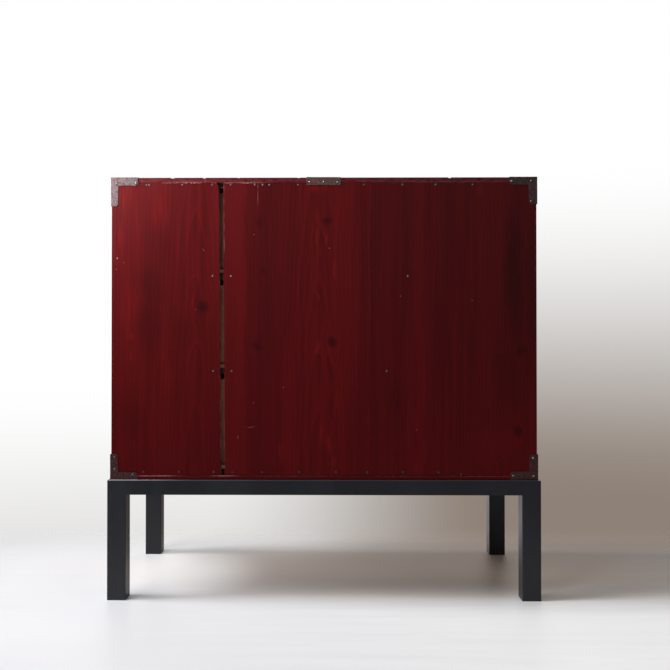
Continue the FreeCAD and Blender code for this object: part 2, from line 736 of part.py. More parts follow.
def eye_post(x, z):
    """An iron eye whose split shank passes through the drawer front and is spread inside."""
    half = EYE_LENGTH / 2
    eye = rod(Vector(x - half, eye_y, z), Vector(x + half, eye_y, z), EYE_RADIUS)
    eye = eye.makeFillet(EYE_EASE, edges_in_plane(eye, "X", x - half) + edges_in_plane(eye, "X", x + half))
    seat_y = drawer_face_y - SEAT_THICKNESS
    neck = rod(Vector(x, eye_y, z), Vector(x, seat_y, z), NECK_RADIUS)
    shank = rod(Vector(x, eye_y, z), Vector(x, drawer_inner_face_y, z), SHANK_RADIUS)
    tail_y = drawer_inner_face_y + SHANK_TAIL_THICKNESS
    half_tail = SHANK_TAIL_WIDTH / 2
    tail = SHANK_TAIL_LENGTH
    tails = block(x - tail, x + tail, drawer_inner_face_y, tail_y, z - half_tail, z + half_tail)
    hole_radius = PIN_RADIUS + PIN_CLEARANCE
    hole = rod(Vector(x - EYE_LENGTH, eye_y, z), Vector(x + EYE_LENGTH, eye_y, z), hole_radius)
    return join([eye, neck, shank, tails]).cut(hole)


def post_hole(x, z):
    """The hole through the drawer front for the shank of an eye post."""
    return rod(Vector(x, drawer_face_y, z), Vector(x, drawer_inner_face_y, z), SHANK_RADIUS)


def post_seat(x, z):
    """A round washer between the eye and the drawer front."""
    seat_y = drawer_face_y - SEAT_THICKNESS
    seat = rod(Vector(x, drawer_face_y, z), Vector(x, seat_y, z), SEAT_RADIUS)
    seat = seat.makeChamfer(SEAT_EASE, edges_in_plane(seat, "Y", seat_y))
    return seat.cut(rod(Vector(x, drawer_face_y, z), Vector(x, seat_y, z), SHANK_RADIUS))


def bail(middle_x, eye_z):
    """A forged bail: pins in the eyes, upright arms and a thicker grip across the bottom."""
    arm = bail_arm_x
    grip_z = -BAIL_DROP
    corner = BAIL_CORNER
    bend = corner * (1 - math.sqrt(0.5))
    ends = [
        Vector(-arm, 0, 0),
        Vector(-arm, 0, grip_z + corner),
        Vector(-arm + corner, 0, grip_z),
        Vector(arm - corner, 0, grip_z),
        Vector(arm, 0, grip_z + corner),
        Vector(arm, 0, 0),
    ]
    edges = [
        Part.LineSegment(ends[0], ends[1]),
        Part.Arc(ends[1], Vector(-arm + bend, 0, grip_z + bend), ends[2]),
        Part.LineSegment(ends[2], ends[3]),
        Part.Arc(ends[3], Vector(arm - bend, 0, grip_z + bend), ends[4]),
        Part.LineSegment(ends[4], ends[5]),
    ]
    path = Part.Wire([edge.toShape() for edge in edges])
    section = Part.Wire(Part.makeCircle(BAR_RADIUS, Vector(-arm, 0, 0), Vector(0, 0, -1)))
    bar = path.makePipeShell([section], True, False)
    low = Vector(-GRIP_LENGTH / 2, 0, grip_z)
    high = Vector(GRIP_LENGTH / 2, 0, grip_z)
    bar_rise = Vector(0, 0, BAR_RADIUS)
    swell = Part.Arc(low + bar_rise, Vector(0, 0, grip_z + GRIP_RADIUS), high + bar_rise).toShape()
    core = Part.makePolygon([high + bar_rise, high, low, low + bar_rise])
    grip = Part.Face(Part.Wire([swell] + core.Edges)).revolve(low, Vector(1, 0, 0), 360)
    pieces = [bar, grip]
    pin_end = POST_SPACING / 2 - EYE_LENGTH / 2 - PIN_TAIL
    for side in (LEFT, RIGHT):
        pieces.append(Part.makeSphere(KNOB_RADIUS, Vector(side * arm, 0, 0)))
        pieces.append(rod(Vector(side * arm, 0, 0), Vector(side * pin_end, 0, 0), PIN_RADIUS))
    solid = join(pieces)
    solid.translate(Vector(middle_x, eye_y, eye_z))
    return solid


# ----------------------------------------------------------------------------------
# Drawers
# ----------------------------------------------------------------------------------


def finger_bands(low_z, high_z):
    """The heights of the fingers that a drawer back puts through each side."""
    pitch = (high_z - low_z) / FINGERS
    return [(low_z + pitch * index, low_z + pitch * (index + 1)) for index in range(1, FINGERS, 2)]


def drawer_front(low_z, top_z, posts, levels):
    """The lacquered front, lapped over the sides and floor and cut for its lock and pulls."""
    case_top, keyhole, case_bottom = levels
    front = block(-drawer_side_x, drawer_side_x, drawer_face_y, drawer_inner_face_y, low_z, top_z)
    front = front.makeChamfer(FRONT_EASE, edges_in_plane(front, "Y", drawer_face_y))
    lap = (drawer_cover_y, drawer_inner_face_y)
    cuts = [block(-drawer_side_x, drawer_side_x, *lap, low_z, low_z + DRAWER_FLOOR)]
    for side in (LEFT, RIGHT):
        inner_x = side * (drawer_side_x - DRAWER_WALL)
        cuts.append(block(inner_x, side * drawer_side_x, *lap, low_z, top_z))
    half = LOCK_CASE_WIDTH / 2
    cuts.append(block(-half, half, lock_front_y, drawer_inner_face_y, case_bottom, top_z))
    cuts.append(keyhole_slot(keyhole, drawer_face_y, lock_front_y))
    cuts += [post_hole(x, z) for x, z in posts]
    return front.cut(cuts)


def drawer_side(side, low_z, top_z, bands):
    """A side that stands on the floor board, cut for the fingers of the back."""
    outer_x = side * drawer_side_x
    inner_x = side * (drawer_side_x - DRAWER_WALL)
    wall = block(inner_x, outer_x, drawer_cover_y, drawer_back_y, low_z + DRAWER_FLOOR, top_z)
    socket_y = drawer_back_y - DRAWER_WALL
    sockets = [block(inner_x, outer_x, socket_y, drawer_back_y, low, high) for low, high in bands]
    return wall.cut(sockets)


def drawer_back(low_z, high_z, bands):
    """The low back, with fingers that run through both sides."""
    inner_x = drawer_side_x - DRAWER_WALL
    front_y = drawer_back_y - DRAWER_WALL
    pieces = [block(-inner_x, inner_x, front_y, drawer_back_y, low_z, high_z)]
    for low, high in bands:
        pieces.append(block(-drawer_side_x, drawer_side_x, front_y, drawer_back_y, low, high))
    return join(pieces)


def build_drawer(name, tier_low_z, tier_top_z):
    """One drawer with its lock and its two pulls, between the floor and the top of its tier."""
    low_z = tier_low_z + DRAWER_BOTTOM_CLEARANCE
    top_z = tier_top_z - DRAWER_TOP_CLEARANCE
    floor_top_z = low_z + DRAWER_FLOOR
    back_top_z = top_z - DRAWER_BACK_DROP
    bands = finger_bands(floor_top_z, back_top_z)
    eye_z = (low_z + top_z) / 2 + PULL_RISE
    posts = []
    for side in (LEFT, RIGHT):
        for end in (LEFT, RIGHT):
            posts.append((side * PULL_FROM_MIDDLE + end * POST_SPACING / 2, eye_z))
    levels = lock_levels(top_z)
    case_top, keyhole, _ = levels
    save("drawer_front_" + name, drawer_front(low_z, top_z, posts, levels))
    save("drawer_side_left_" + name, drawer_side(LEFT, low_z, top_z, bands))
    save("drawer_side_right_" + name, drawer_side(RIGHT, low_z, top_z, bands))
    save("drawer_back_" + name, drawer_back(floor_top_z, back_top_z, bands))
    floor = block(-drawer_side_x, drawer_side_x, drawer_cover_y, drawer_back_y, low_z, floor_top_z)
    save("drawer_floor_" + name, floor)
    save("pull_posts_" + name, [eye_post(x, z) for x, z in posts])
    save("pull_seats_" + name, [post_seat(x, z) for x, z in posts])
    for side, side_name in ((LEFT, "left"), (RIGHT, "right")):
        save("bail_" + name + "_" + side_name, bail(side * PULL_FROM_MIDDLE, eye_z))
    save("lock_plate_" + name, lock_plate(keyhole))
    save("lock_case_" + name, lock_case(levels))
    save("lock_bolt_" + name, lock_bolt(case_top, 0.0))


# ----------------------------------------------------------------------------------
# Build every piece
# ----------------------------------------------------------------------------------

os.makedirs("parts", exist_ok=True)
all_screws, screw_recesses = stand_screws()
build_stand(all_screws, screw_recesses)
build_case(all_screws)
for tier_name, tier_low, tier_top in TIERS:
    build_drawer(tier_name, tier_low, tier_top)
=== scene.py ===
# %% [markdown]
# # A lacquered drawer chest on a black stand
#
# The chest is an old Japanese clothes chest, a tansu. Three wide drawers open at the front,
# and the back is closed by three upright cedar boards. The whole case is coated with red
# lacquer, its corners are held by folded iron, and it stands on a modern black frame.
#
# The construction model already gives every piece its true size and place. This lesson
# loads it as a fixed frame, dresses each piece in the finish that the real one has, and
# models again the pieces whose charm lies in small irregular shapes.

# %% Load the frame
import math
import random

import bpy
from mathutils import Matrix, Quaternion, Vector


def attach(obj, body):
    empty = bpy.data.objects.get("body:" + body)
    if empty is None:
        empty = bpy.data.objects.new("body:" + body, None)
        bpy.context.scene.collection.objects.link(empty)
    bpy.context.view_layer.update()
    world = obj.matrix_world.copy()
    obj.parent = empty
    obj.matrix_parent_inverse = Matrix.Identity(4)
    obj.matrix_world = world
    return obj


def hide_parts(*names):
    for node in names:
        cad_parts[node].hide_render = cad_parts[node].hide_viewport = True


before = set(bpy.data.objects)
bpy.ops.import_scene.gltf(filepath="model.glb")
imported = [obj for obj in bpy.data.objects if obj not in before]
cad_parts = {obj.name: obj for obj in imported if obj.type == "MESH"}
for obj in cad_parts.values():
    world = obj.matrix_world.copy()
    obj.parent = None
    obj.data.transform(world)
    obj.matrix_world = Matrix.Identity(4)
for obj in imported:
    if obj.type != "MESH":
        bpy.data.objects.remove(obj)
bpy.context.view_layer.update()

MM = 0.001  # the scene is in metres, and most sizes below are in millimetres

# %% [markdown]
# ## Camera
# The chest is seen from behind, a little above the middle of its height, through a lens of about 47
# mm on a full-frame sensor, which sees as gently as the eye. A small shift frames the picture instead
# of a tilt, so the upright edges stay upright.

# %% Make the camera
LENS = 46.92
SENSOR = 36.0
CAMERA_PLACE = Vector((-0.0178, 2.3279, 0.637))
CAMERA_AIM = Vector((0.0096, -1.0, 0.009))

camera_data = bpy.data.cameras.new("camera")
camera_data.lens = LENS
camera_data.sensor_width = SENSOR
camera_data.shift_x = 0.0184
camera_data.shift_y = -0.0147
camera = bpy.data.objects.new("camera", camera_data)
camera.location = CAMERA_PLACE
camera.rotation_mode = "QUATERNION"
camera.rotation_quaternion = CAMERA_AIM.to_track_quat("-Z", "Y")
bpy.context.scene.collection.objects.link(camera)
bpy.context.scene.camera = camera
bpy.context.scene.view_settings.view_transform = "Standard"
print("camera at", tuple(camera.location))

# %% [markdown]
# ## Small tools for materials
# A material is a tree of nodes. One helper adds a node and fills its inputs, with a value or with the
# output of an earlier node. Another turns a colour written as sRGB hex, as on a paint chart, into the
# linear numbers that Blender computes with. Coats of colour are laid one over the other, as a painter
# does.

# %% Helpers for nodes and colours
SMOOTH = {"interpolation_type": "SMOOTHSTEP"}
TIMES = {"operation": "MULTIPLY"}
TREES = []  # the last one is the tree in hand, to which nodes are added


def add(kind, *values, out=0, **settings):
    """Add a shader node and return one output, or all. Values fill its inputs in order.
    A setting with a capital fills the input of that name, and any other is an option."""
    node = TREES[-1].nodes.new("ShaderNode" + kind)
    inputs = dict(enumerate(values))
    for name, value in settings.items():
        if name[0].isupper():
            inputs[name.replace("_", " ")] = value
        else:
            setattr(node, name, value)
    for socket, value in inputs.items():
        if isinstance(value, bpy.types.NodeSocket):
            TREES[-1].links.new(value, node.inputs[socket])
        elif value is not None:
            node.inputs[socket].default_value = value
    if out == "all" or not node.outputs:
        return list(node.outputs)
    return node.outputs[out]


def linear(hex_colour):
    """Turn an sRGB hex colour into linear red, green, blue and alpha."""
    channels = [int(hex_colour[i : i + 2], 16) / 255 for i in (1, 3, 5)]
    return [c / 12.92 if c <= 0.04045 else ((c + 0.055) / 1.055) ** 2.4 for c in channels] + [1.0]


def layered(ground, layers):
    """Lay colours over a ground, each by its share. A colour is a hex, or linear already."""
    colour = linear(ground) if isinstance(ground, str) else ground
    for share, over in layers:
        over = linear(over) if isinstance(over, str) else over
        # The inputs 1 to 5 of this node mix numbers and vectors, and 6 and 7 mix colours
        colour = add("Mix", share, *[None] * 5, colour, over, out=2, data_type="RGBA")
    return colour


def new_material(name):
    """Take a new material in hand. Return it and the place in the piece that it colours."""
    material = bpy.data.materials.new(name)
    material.use_nodes = True
    material.node_tree.nodes.clear()
    TREES.append(material.node_tree)
    return material, add("TexCoord", out=3)


def end_with(colour, roughness, **more):
    """End a material with one surface."""
    add("OutputMaterial", add("BsdfPrincipled", colour, Roughness=roughness, **more))


def within(vector, edge, core, strength=1.0):
    """A share that grows from nothing at one distance from the origin to full at another."""
    reach = add("VectorMath", vector, out=1, operation="LENGTH")
    return add("MapRange", reach, edge, core, 0.0, strength, **SMOOTH)


print("red lacquer in linear numbers:", linear("#6C130F"))

# %% [markdown]
# ## Floor and backdrop
# The floor is a pale wood-grain vinyl on a wide plane. Further out it fades away, so that the white
# backdrop takes over without a horizon. Only the camera sees the backdrop. Everything else sees a
# dim, even room, which keeps the light on the chest plain.

# %% Lay the floor
FLOOR_HALF = 8.0
FLOOR_FULL = 0.10  # metres from the middle to where the floor starts to fade, away from the camera
FLOOR_GONE = 0.58

floor_material, place = new_material("pale_vinyl_floor")
floor_x, floor_y, _ = add("SeparateXYZ", place, out="all")
streaks = add("Mapping", place, Scale=(2.2, 26.0, 1.0))
streaks = add("TexNoise", streaks, Scale=1.0, Detail=5.0, Roughness=0.62)
streaks = add("MapRange", streaks, 0.35, 0.68, 0.0, 0.6)
cloudy = add("TexNoise", place, Scale=1.7, Detail=2.0)
cloudy = add("MapRange", cloudy, 0.35, 0.65, 0.0, 0.5)
# The floor is coloured darker towards the window, which evens out the nearest lamp
near_window = add("MapRange", floor_x, -0.3, 0.9)
# Painted shade: the floor under the chest is tinted warm, for the light that the red chest throws into its
# shadow
painted_warm_shade = add("Mapping", place, (0.28, 0.10, 0), Scale=(1.15, 3.3, 0))
painted_warm_shade = within(painted_warm_shade, 1.15, 0.35, 0.9)
# and a painted shadow darkens it behind the chest, away from the window, where the chest's shadow falls
painted_shadow = add("MapRange", floor_x, 0.10, -0.18, **SMOOTH)
painted_shadow = add("Math", painted_shadow, add("MapRange", floor_y, 0.02, -0.32), **TIMES)
layers = [(near_window, "#D9DADD"), (streaks, "#E6E7EA"), (cloudy, "#EFF0F2")]
layers += [(painted_warm_shade, "#F4E4D4"), (painted_shadow, "#BFB2A8")]
floor_colour = layered("#FFFFFF", layers)
vinyl = add("BsdfPrincipled", floor_colour, Roughness=0.42, Specular_IOR_Level=0.35)
# Painted light: the camera, and nothing else, sees a white glow mixed into the open floor away
# from the window, so that it looks as white as the rest, and into a painted pool of light between
# the legs on the window side, where light slips in. The chest's own shadow is left out of this.
open_floor = add("MapRange", floor_y, 0.22, 0.38, **SMOOTH)
dim_side = add("MapRange", floor_x, 0.35, -0.35, 0.0, 0.40)
painted_light = add("Math", open_floor, dim_side, **TIMES)
painted_light_pool = add("Mapping", place, (-1.48, 0, 0), Scale=(3.7, 3.2, 0))
painted_light = add("Math", painted_light, within(painted_light_pool, 1.0, 0.1, 0.5), operation="MAXIMUM")
painted_light = add("Math", painted_light, add("LightPath"), **TIMES)
painted_glow = add("Emission", (1, 1, 1, 1), 1.0)
vinyl = add("MixShader", painted_light, vinyl, painted_glow)
# How far the floor has faded: quickly behind the chest's drawers, slowly on the other sides
behind = add("MapRange", floor_y, -FLOOR_FULL, -FLOOR_GONE, **SMOOTH)
before = add("MapRange", floor_y, 0.80, 1.40, **SMOOTH)
faded = add("Math", behind, within(place, 1.2, 2.2), operation="MAXIMUM")
faded = add("Math", faded, before, operation="MAXIMUM")
add("OutputMaterial", add("MixShader", faded, vinyl, add("BsdfTransparent")))

bpy.ops.object.select_all(action="DESELECT")
bpy.ops.mesh.primitive_plane_add(size=2 * FLOOR_HALF)
floor = bpy.context.object
floor.name = "floor"
floor.data.materials.append(floor_material)
print("floor", floor.dimensions[:])

# %% [markdown]
# ## Room
# The room is dim and even, with a dark side behind the camera, as a curtained room has. A lacquered
# board is a soft mirror, so what stands behind the camera decides how deep its red looks.

# %% Make the room
ROOM_SHADE = (0.095, 0.078, 0.066, 1.0)  # warm, on the side away from the window
ROOM_BRIGHT = (0.170, 0.160, 0.155, 1.0)
CURTAIN = (0.09, 0.09, 0.09, 1.0)
TOWARD_CURTAIN = (-0.25, 0.96, 0.02)
SHADED_WALL_GREY = "#8E8177"

world = bpy.data.worlds.new("studio")
bpy.context.scene.world = world
world.use_nodes = True
world.node_tree.nodes.clear()
TREES.append(world.node_tree)
direction = add("TexCoord")
sideways, forward, upward = add("SeparateXYZ", direction, out="all")
curtain = add("VectorMath", direction, TOWARD_CURTAIN, out=1, operation="DOT_PRODUCT")
curtain = add("MapRange", curtain, 0.2, 0.75, **SMOOTH)
from_window = add("MapRange", sideways, -0.7, 0.7)
room = layered(ROOM_SHADE, [(from_window, ROOM_BRIGHT), (curtain, CURTAIN)])
# The backdrop is white, with painted shade: a light grey low down, and a warm grey low down on the side
# away from the window.
aside = add("MapRange", sideways, 0.15, -0.18, **SMOOTH)
ahead = add("MapRange", forward, 0.0, -0.4, **SMOOTH)
aside = add("Math", aside, ahead, **TIMES)
shade = add("MapRange", upward, 0.19, -0.19, **SMOOTH)
shade = add("Math", aside, shade, **TIMES)
dim = add("MapRange", upward, -0.05, -0.25, **SMOOTH)
backdrop = layered("#FFFFFF", [(dim, "#E4E3E2"), (shade, SHADED_WALL_GREY)])
# Glossy surfaces see the same backdrop, with the curtained side of the room left dark. The
# real wall is near, so its grey foot shows further up in what the floor reflects.
foot = add("MapRange", upward, 0.36, 0.20, **SMOOTH)
foot = add("Math", aside, foot, **TIMES)
mirrored = layered("#FFFFFF", [(foot, SHADED_WALL_GREY), (curtain, CURTAIN)])
is_camera, _, _, is_glossy = add("LightPath", out="all")[:4]
colour = layered(room, [(is_glossy, mirrored), (is_camera, backdrop)])
add("OutputWorld", add("Background", colour, 1.0))
print("room between", ROOM_SHADE, "and", ROOM_BRIGHT)

# %% [markdown]
# ## Lamps
# A window-like lamp far to the side gives the light that falls off across the boards, and a high soft
# box catches the upper corner. A weak lamp on the drawer side stands for the white wall. Wide lamps
# leave no hard edge in a highlight.

# %% Hang the lamps
def lamp(name, place, aim, size, watts, colour):
    """A soft box at a place in metres, turned to a point. Size is its width and height."""
    data = bpy.data.lights.new(name, "AREA")
    data.shape = "RECTANGLE"
    data.size, data.size_y = size
    data.energy = watts
    data.color = linear(colour)[:3]
    light = bpy.data.objects.new(name, data)
    light.location = place
    light.rotation_mode = "QUATERNION"
    light.rotation_quaternion = (Vector(aim) - Vector(place)).to_track_quat("-Z", "Y")
    light.visible_camera = False
    bpy.context.scene.collection.objects.link(light)
    print(name, "at", place, watts, "W")


lamp("window", (0.92, 0.56, 1.25), (0.1, 0.2, 0.7), (0.5, 0.5), 9.5, "#FFFDFA")
lamp("sky", (6.8, 0.52, 5.8), (0.1, 0.25, 0.0), (2.5, 7.5), 700.0, "#F8FAFF")
lamp("soft_box", (1.73, 2.98, 2.25), (0.5, 0.24, 1.0), (0.6, 1.4), 11.0, "#F6F9FF")
lamp("wall_bounce", (-0.5, -2.5, 2.3), (0.0, -0.2, 0.5), (1.6, 1.6), 11.0, "#FFEBD8")

# %% [markdown]
# ## Patterns of the wood
# Cedar that is sawn flat shows its yearly rings as long arches. A ring is a place at one distance
# from the heart of the tree, so the pattern is made of rings round a heart line that runs nearly
# along the board, just below its face. The line leans a little, and that alone turns straight lines
# into arches. Streaks are noise stretched along the grain. Each helper returns a share between 0 and
# 1, for mixing two colours.

# %% Helpers for the grain
# The turn that lays the grain of a board along local Z, for boards that run along X or Y
TURNS = {"Z": (0, 0, 0), "X": (0, math.pi / 2, 0), "Y": (math.pi / 2, 0, 0)}


def streaks_of(coords, wide, long, low, high, detail=2.0, shift=0.0):
    """Noise stretched along Z: how wide and how long its streaks are, in millimetres."""
    scale = (1 / (wide * MM), 1 / (wide * MM), 1 / (long * MM))
    stretched = add("Mapping", coords, (shift, 0, shift), Scale=scale)
    noise = add("TexNoise", stretched, Scale=1.0, Detail=detail)
    return add("MapRange", noise, low, high, **SMOOTH)


def oval(coords, x, z, wide, high, turn=0.0):
    """Coordinates in which an oval round a point, given in millimetres, is the unit circle."""
    place = (x * MM, 0, z * MM)
    size = (wide * MM, 100.0, high * MM)
    turned = (0, math.radians(turn), 0)
    return add("Mapping", coords, place, turned, size, vector_type="TEXTURE")


def patches(coords, places):
    """Soft ovals: for each its x and z, its half width and half height, and its strength."""
    total = None
    for *where, strength in places:
        share = within(oval(coords, *where), 1.0, 0.2, strength)
        total = share if total is None else add("Math", total, share, operation="MAXIMUM")
    return total


def round_knots(coords, knots):
    """Push the grain aside round each knot, given by its x, z, radius and darkness."""
    for x, z, radius, _ in knots:
        near = patches(coords, [(x, z, radius * 4, radius * 7, 0.7)])
        away = add("VectorMath", coords, (x * MM, 0, 0), operation="SUBTRACT")
        aside = add("VectorMath", away, (1, 0, 0), **TIMES)
        pushed = add("VectorMath", aside, Scale=near, operation="SCALE")
        coords = add("VectorMath", coords, pushed, operation="SUBTRACT")
    return coords


def year_rings(coords, heart, lean, spacing, wobble):
    """The late and the early wood of the rings round a heart line, spacing in millimetres."""
    moved = add("Mapping", coords, [-c * MM for c in heart])
    leaned = add("Mapping", moved, Rotation=(lean, 0, 0))
    rings = add(
        "TexWave",
        add("Mapping", leaned, Scale=(1, 1, 0.06)),
        out=1,
        # The wave node draws 20 / 2 pi rings per unit
        Scale=2 * math.pi / (20 * spacing * MM),
        Distortion=wobble,
        Detail=2.0,
        Detail_Scale=0.22,
        Detail_Roughness=0.55,
        wave_type="RINGS",
        rings_direction="Z",
        wave_profile="SAW",
    )
    late = add("MapRange", rings, 0.35, 0.96, **SMOOTH)
    early = add("MapRange", rings, 0.30, 0.04, **SMOOTH)
    return late, early


def thinned(layers):
    """Thin each layer, given by its share, its amount and its colour."""
    return [(add("Math", share, amount, **TIMES), colour) for share, amount, colour in layers]


print("grain helpers ready")

# %% [markdown]
# ## Marks of use
# Decades of moving and rubbing leave marks with their own shapes: a band where a neighbour kept the
# sun off, a scratch, a row of chips along an edge, raw wood on a broken arris. Each has its own
# helper.

# %% Helpers for the marks
def upright_band(x, low, high, soft, share):
    """A band between two x, its two edges softened by their own widths, in millimetres."""
    left, right = soft
    rise = add("MapRange", x, (low - left) * MM, (low + left) * MM, 0.0, share, **SMOOTH)
    fall = add("MapRange", x, (high + right) * MM, (high - right) * MM, **SMOOTH)
    return add("Math", rise, fall, **TIMES)


def scratch(coords, x, z, half_length, turn):
    """A scratch or a dent round a point, turned by an angle in degrees from upright."""
    half_width = 0.55 if half_length > 4 else 0.9
    local = oval(coords, x, z, half_width, half_length, turn)
    length = add("VectorMath", local, out=1, operation="LENGTH")
    return add("MapRange", length, 1.0, 0.4, 0.0, 0.8)


def chipped_line(coords, height, reach, places, seed, gaps):
    """Small chips along a level edge, where the lacquer has broken off the wood."""
    z = add("SeparateXYZ", coords, out=2)
    off = add("Math", add("Math", z, height * MM, operation="SUBTRACT"), operation="ABSOLUTE")
    ragged = add("Mapping", coords, (seed, 0, 0), Scale=(1 / (7 * MM), 1, 1 / (4 * MM)))
    ragged = add("TexNoise", ragged, Scale=1.0, Detail=4.0, Roughness=0.6)
    reach = add("MapRange", ragged, gaps, gaps + 0.22, 0.0, reach * MM)
    chipped = add("Math", off, reach, operation="LESS_THAN")
    return add("Math", chipped, patches(coords, places), **TIMES)


def bare_and_lit_faces(coords, facing):
    """Bare wood on faces that look one way, broken up along the grain. On faces toward the window it is
    also a painted highlight.
    """
    normal = add("NewGeometry", out=3)
    toward = add("VectorMath", normal, facing, out=1, operation="DOT_PRODUCT")
    toward = add("MapRange", toward, 0.55, 0.8)
    return add("Math", toward, streaks_of(coords, 30, 22, 0.40, 0.60, 4.0, 3.3), **TIMES)


print("mark helpers ready")

# %% [markdown]
# ## Red lacquer on cedar
# The boards were stained with iron-red and brushed with clear tree lacquer, which has browned with
# age. It lets the grain show faintly and turns from orange red, where it is thin or rubbed, to almost
# black in the knots. The coat is satin: a low, slightly uneven gloss, with an index of refraction
# near 1.5.

# %% Make the lacquer
RING_SPACING = 8.0
RING_WOBBLE = 5.0


def red_lacquer(name, grain, heart, lean, seed, gloss=0.24, inside=None, rebate=None, foot=0.0,
                knots=(), clouds=(), rubbed=(), bands=(), scratches=(), seams=(), scuffed=0.0, raw=None):
    """A lacquer finish with its marks: knots, dark clouds, rubbed streaks, upright bands,
    scratches, chipped seams, a dark foot, a scuffed rear, and bare wood on faces that look one
    way, which toward the window is also a painted highlight. Inside says where bare wood begins,
    and rebate which heights the back boards hide, coloured near black there as painted shade."""
    material, place = new_material(name)
    _, depth_y, height = add("SeparateXYZ", place, out="all")
    coords = add("Mapping", place, Rotation=TURNS[grain])
    # Most marks follow loose coordinates, which drift a little, so that no oval is a true one
    drift = add("TexNoise", coords, out=1, Scale=16.0, Detail=2.0)
    drift = add("VectorMath", drift, (0.5, 0.5, 0.5), operation="SUBTRACT")
    drift = add("VectorMath", drift, Scale=0.03, operation="SCALE")
    loose = add("VectorMath", coords, drift, operation="ADD")
    loose_x, _, loose_z = add("SeparateXYZ", loose, out="all")
    flowing = round_knots(coords, knots)
    late, early = year_rings(flowing, heart, lean, RING_SPACING, RING_WOBBLE)
    layers = thinned([
        (streaks_of(coords, 55, 900, 0.36, 0.64, 2.0, seed), 0.75, "#5C0D11"),
        (streaks_of(flowing, 13, 420, 0.38, 0.66, 3.0, seed + 3.1), 0.55, "#7E1418"),
        (late, 0.16, "#400A0D"),
        (early, 0.20, "#8E1719"),
        (streaks_of(flowing, 2.6, 160, 0.40, 0.62, 3.0, seed + 5.7), 0.17, "#4C0B0E"),
        (streaks_of(flowing, 7, 110, 0.60, 0.78, 3.0, seed + 9.2), 0.16, "#8E1E18"),
    ])
    broad, _, late, _, fine, _ = [share for share, _ in layers]
    if rubbed:
        broken = streaks_of(flowing, 4.5, 90, 0.36, 0.62, 3.0, seed + 1.3)
        broken = add("Math", patches(loose, rubbed), broken, **TIMES)
        layers.append((broken, "#981E18"))
    if clouds:
        layers.append((patches(loose, clouds), "#330708"))
    if knots:
        hearts = [(x, z, radius * 1.9, radius * 2.0, dark) for x, z, radius, dark in knots]
        layers.append((patches(loose, hearts), "#26090C"))
    for *band, hex_colour in bands:
        layers.append((upright_band(loose_x, *band), hex_colour))
    if foot:
        layers.append((add("MapRange", loose_z, 1.00, 0.31, 0.0, foot), "#3A090A"))
    for mark in scratches:
        layers.append((scratch(coords, *mark), "#A9807A"))
    for level, reach, gaps, places, hex_colour in seams:
        layers.append((chipped_line(place, level, reach, places, seed, gaps), hex_colour))
    if scuffed:
        rear = add("MapRange", depth_y, 0.20, 0.236, 0.0, scuffed)
        scuffs = streaks_of(place, 14, 5, 0.30, 0.62, 4.0, seed + 2.2)
        layers.append((add("Math", scuffs, rear, **TIMES), "#8A4C52"))
    if raw:
        layers.append((bare_and_lit_faces(coords, raw), "#B0907F"))
    # Painted shade: where the back boards hide the rebate, the coat is coloured near black, for the shade
    # in the recess
    if rebate:
        behind = add("MapRange", depth_y, 0.2289, 0.2291)
        hidden = add("MapRange", height, rebate[0] * MM, rebate[1] * MM)
        layers.append((add("Math", behind, hidden, **TIMES), "#140C0D"))
    wear = streaks_of(coords, 9, 60, 0.2, 0.8, 4.0, seed + 7.7)
    roughness = add("MapRange", wear, 0.0, 1.0, gloss - 0.015, gloss + 0.025)
    if inside:
        axis, outer, inner = inside
        depth = add("SeparateXYZ", place, out="XYZ".index(axis))
        depth = add("Math", depth, operation="ABSOLUTE")
        uncoated = add("MapRange", depth, outer * MM, inner * MM)
        bare = [(broad, "#957253"), (fine, "#7D5C42"), (late, "#6E4C33")]
        layers.append((uncoated, layered("#A98A6C", bare)))
        roughness = add("Mix", uncoated, None, roughness, 0.75)
    relief = add("Math", late, fine, operation="ADD")
    wave = streaks_of(coords, 70, 260, 0.2, 0.8, 1.0, seed + 4.4)
    relief = add("Math", wave, 3.0, relief, operation="MULTIPLY_ADD")
    bump = add("Bump", Strength=0.5, Distance=0.0002, Height=relief)
    # The lower the coat lies, the more it has been dulled by mops and dust
    shine = add("MapRange", height, 0.30, 0.95, 0.16, 0.44)
    colour = layered("#701216", layers)
    end_with(colour, roughness, Specular_IOR_Level=shine, IOR=1.5, Normal=bump)
    return material


print("red lacquer ready to be mixed")

# %% [markdown]
# ## Lacquer of the back boards
# The narrow board by the window is the brightest, the middle one holds the heart of the tree, and
# the wide one lies in the shade and has gone almost black at its outer side. The marks of each are
# set one by one, by x and z in millimetres, because knots and rubs are what tell boards apart.

# %% Lacquer the back boards
CHIPPED = "#B98F88"  # wood and ground coat where the lacquer has broken off
TOP_SEAM = (997.6, 1.8, 0.40)  # height of the boards' upper edge, reach of its chips, and gaps

lacquer_narrow = red_lacquer(
    "red_lacquer_narrow_board", "Z", (309, 186, 657), -0.05, 1.0,
    foot=0.55,
    raw=(-0.86, 0.0, 0.5),
    knots=[(288, 703, 11, 0.68)],
    clouds=[
        (412, 752, 48, 100, 0.42), (404, 850, 50, 100, 0.24), (418, 662, 46, 120, 0.42),
        (330, 640, 40, 60, 0.2), (470, 430, 50, 80, 0.25),
    ],
    rubbed=[
        (487, 962, 34, 50, 0.55), (492, 850, 14, 80, 0.45), (468, 690, 30, 80, 0.4),
        (446, 868, 5, 50, 0.5), (461, 628, 16, 12, 0.6), (462, 580, 14, 14, 0.5),
        (297, 905, 6, 40, 0.45), (392, 925, 30, 60, 0.35), (314, 715, 5, 30, 0.5),
        (372, 560, 12, 120, 0.3),
    ],
    scratches=[(288, 836, 5, 35), (480, 806, 1.6, 0), (498, 790, 1.6, 0), (307, 694, 1.6, 0)],
    seams=[(*TOP_SEAM, [(321, 997, 34, 9, 1.0), (350, 997, 60, 9, 0.6), (262, 994, 12, 10, 0.9)], CHIPPED)],
)
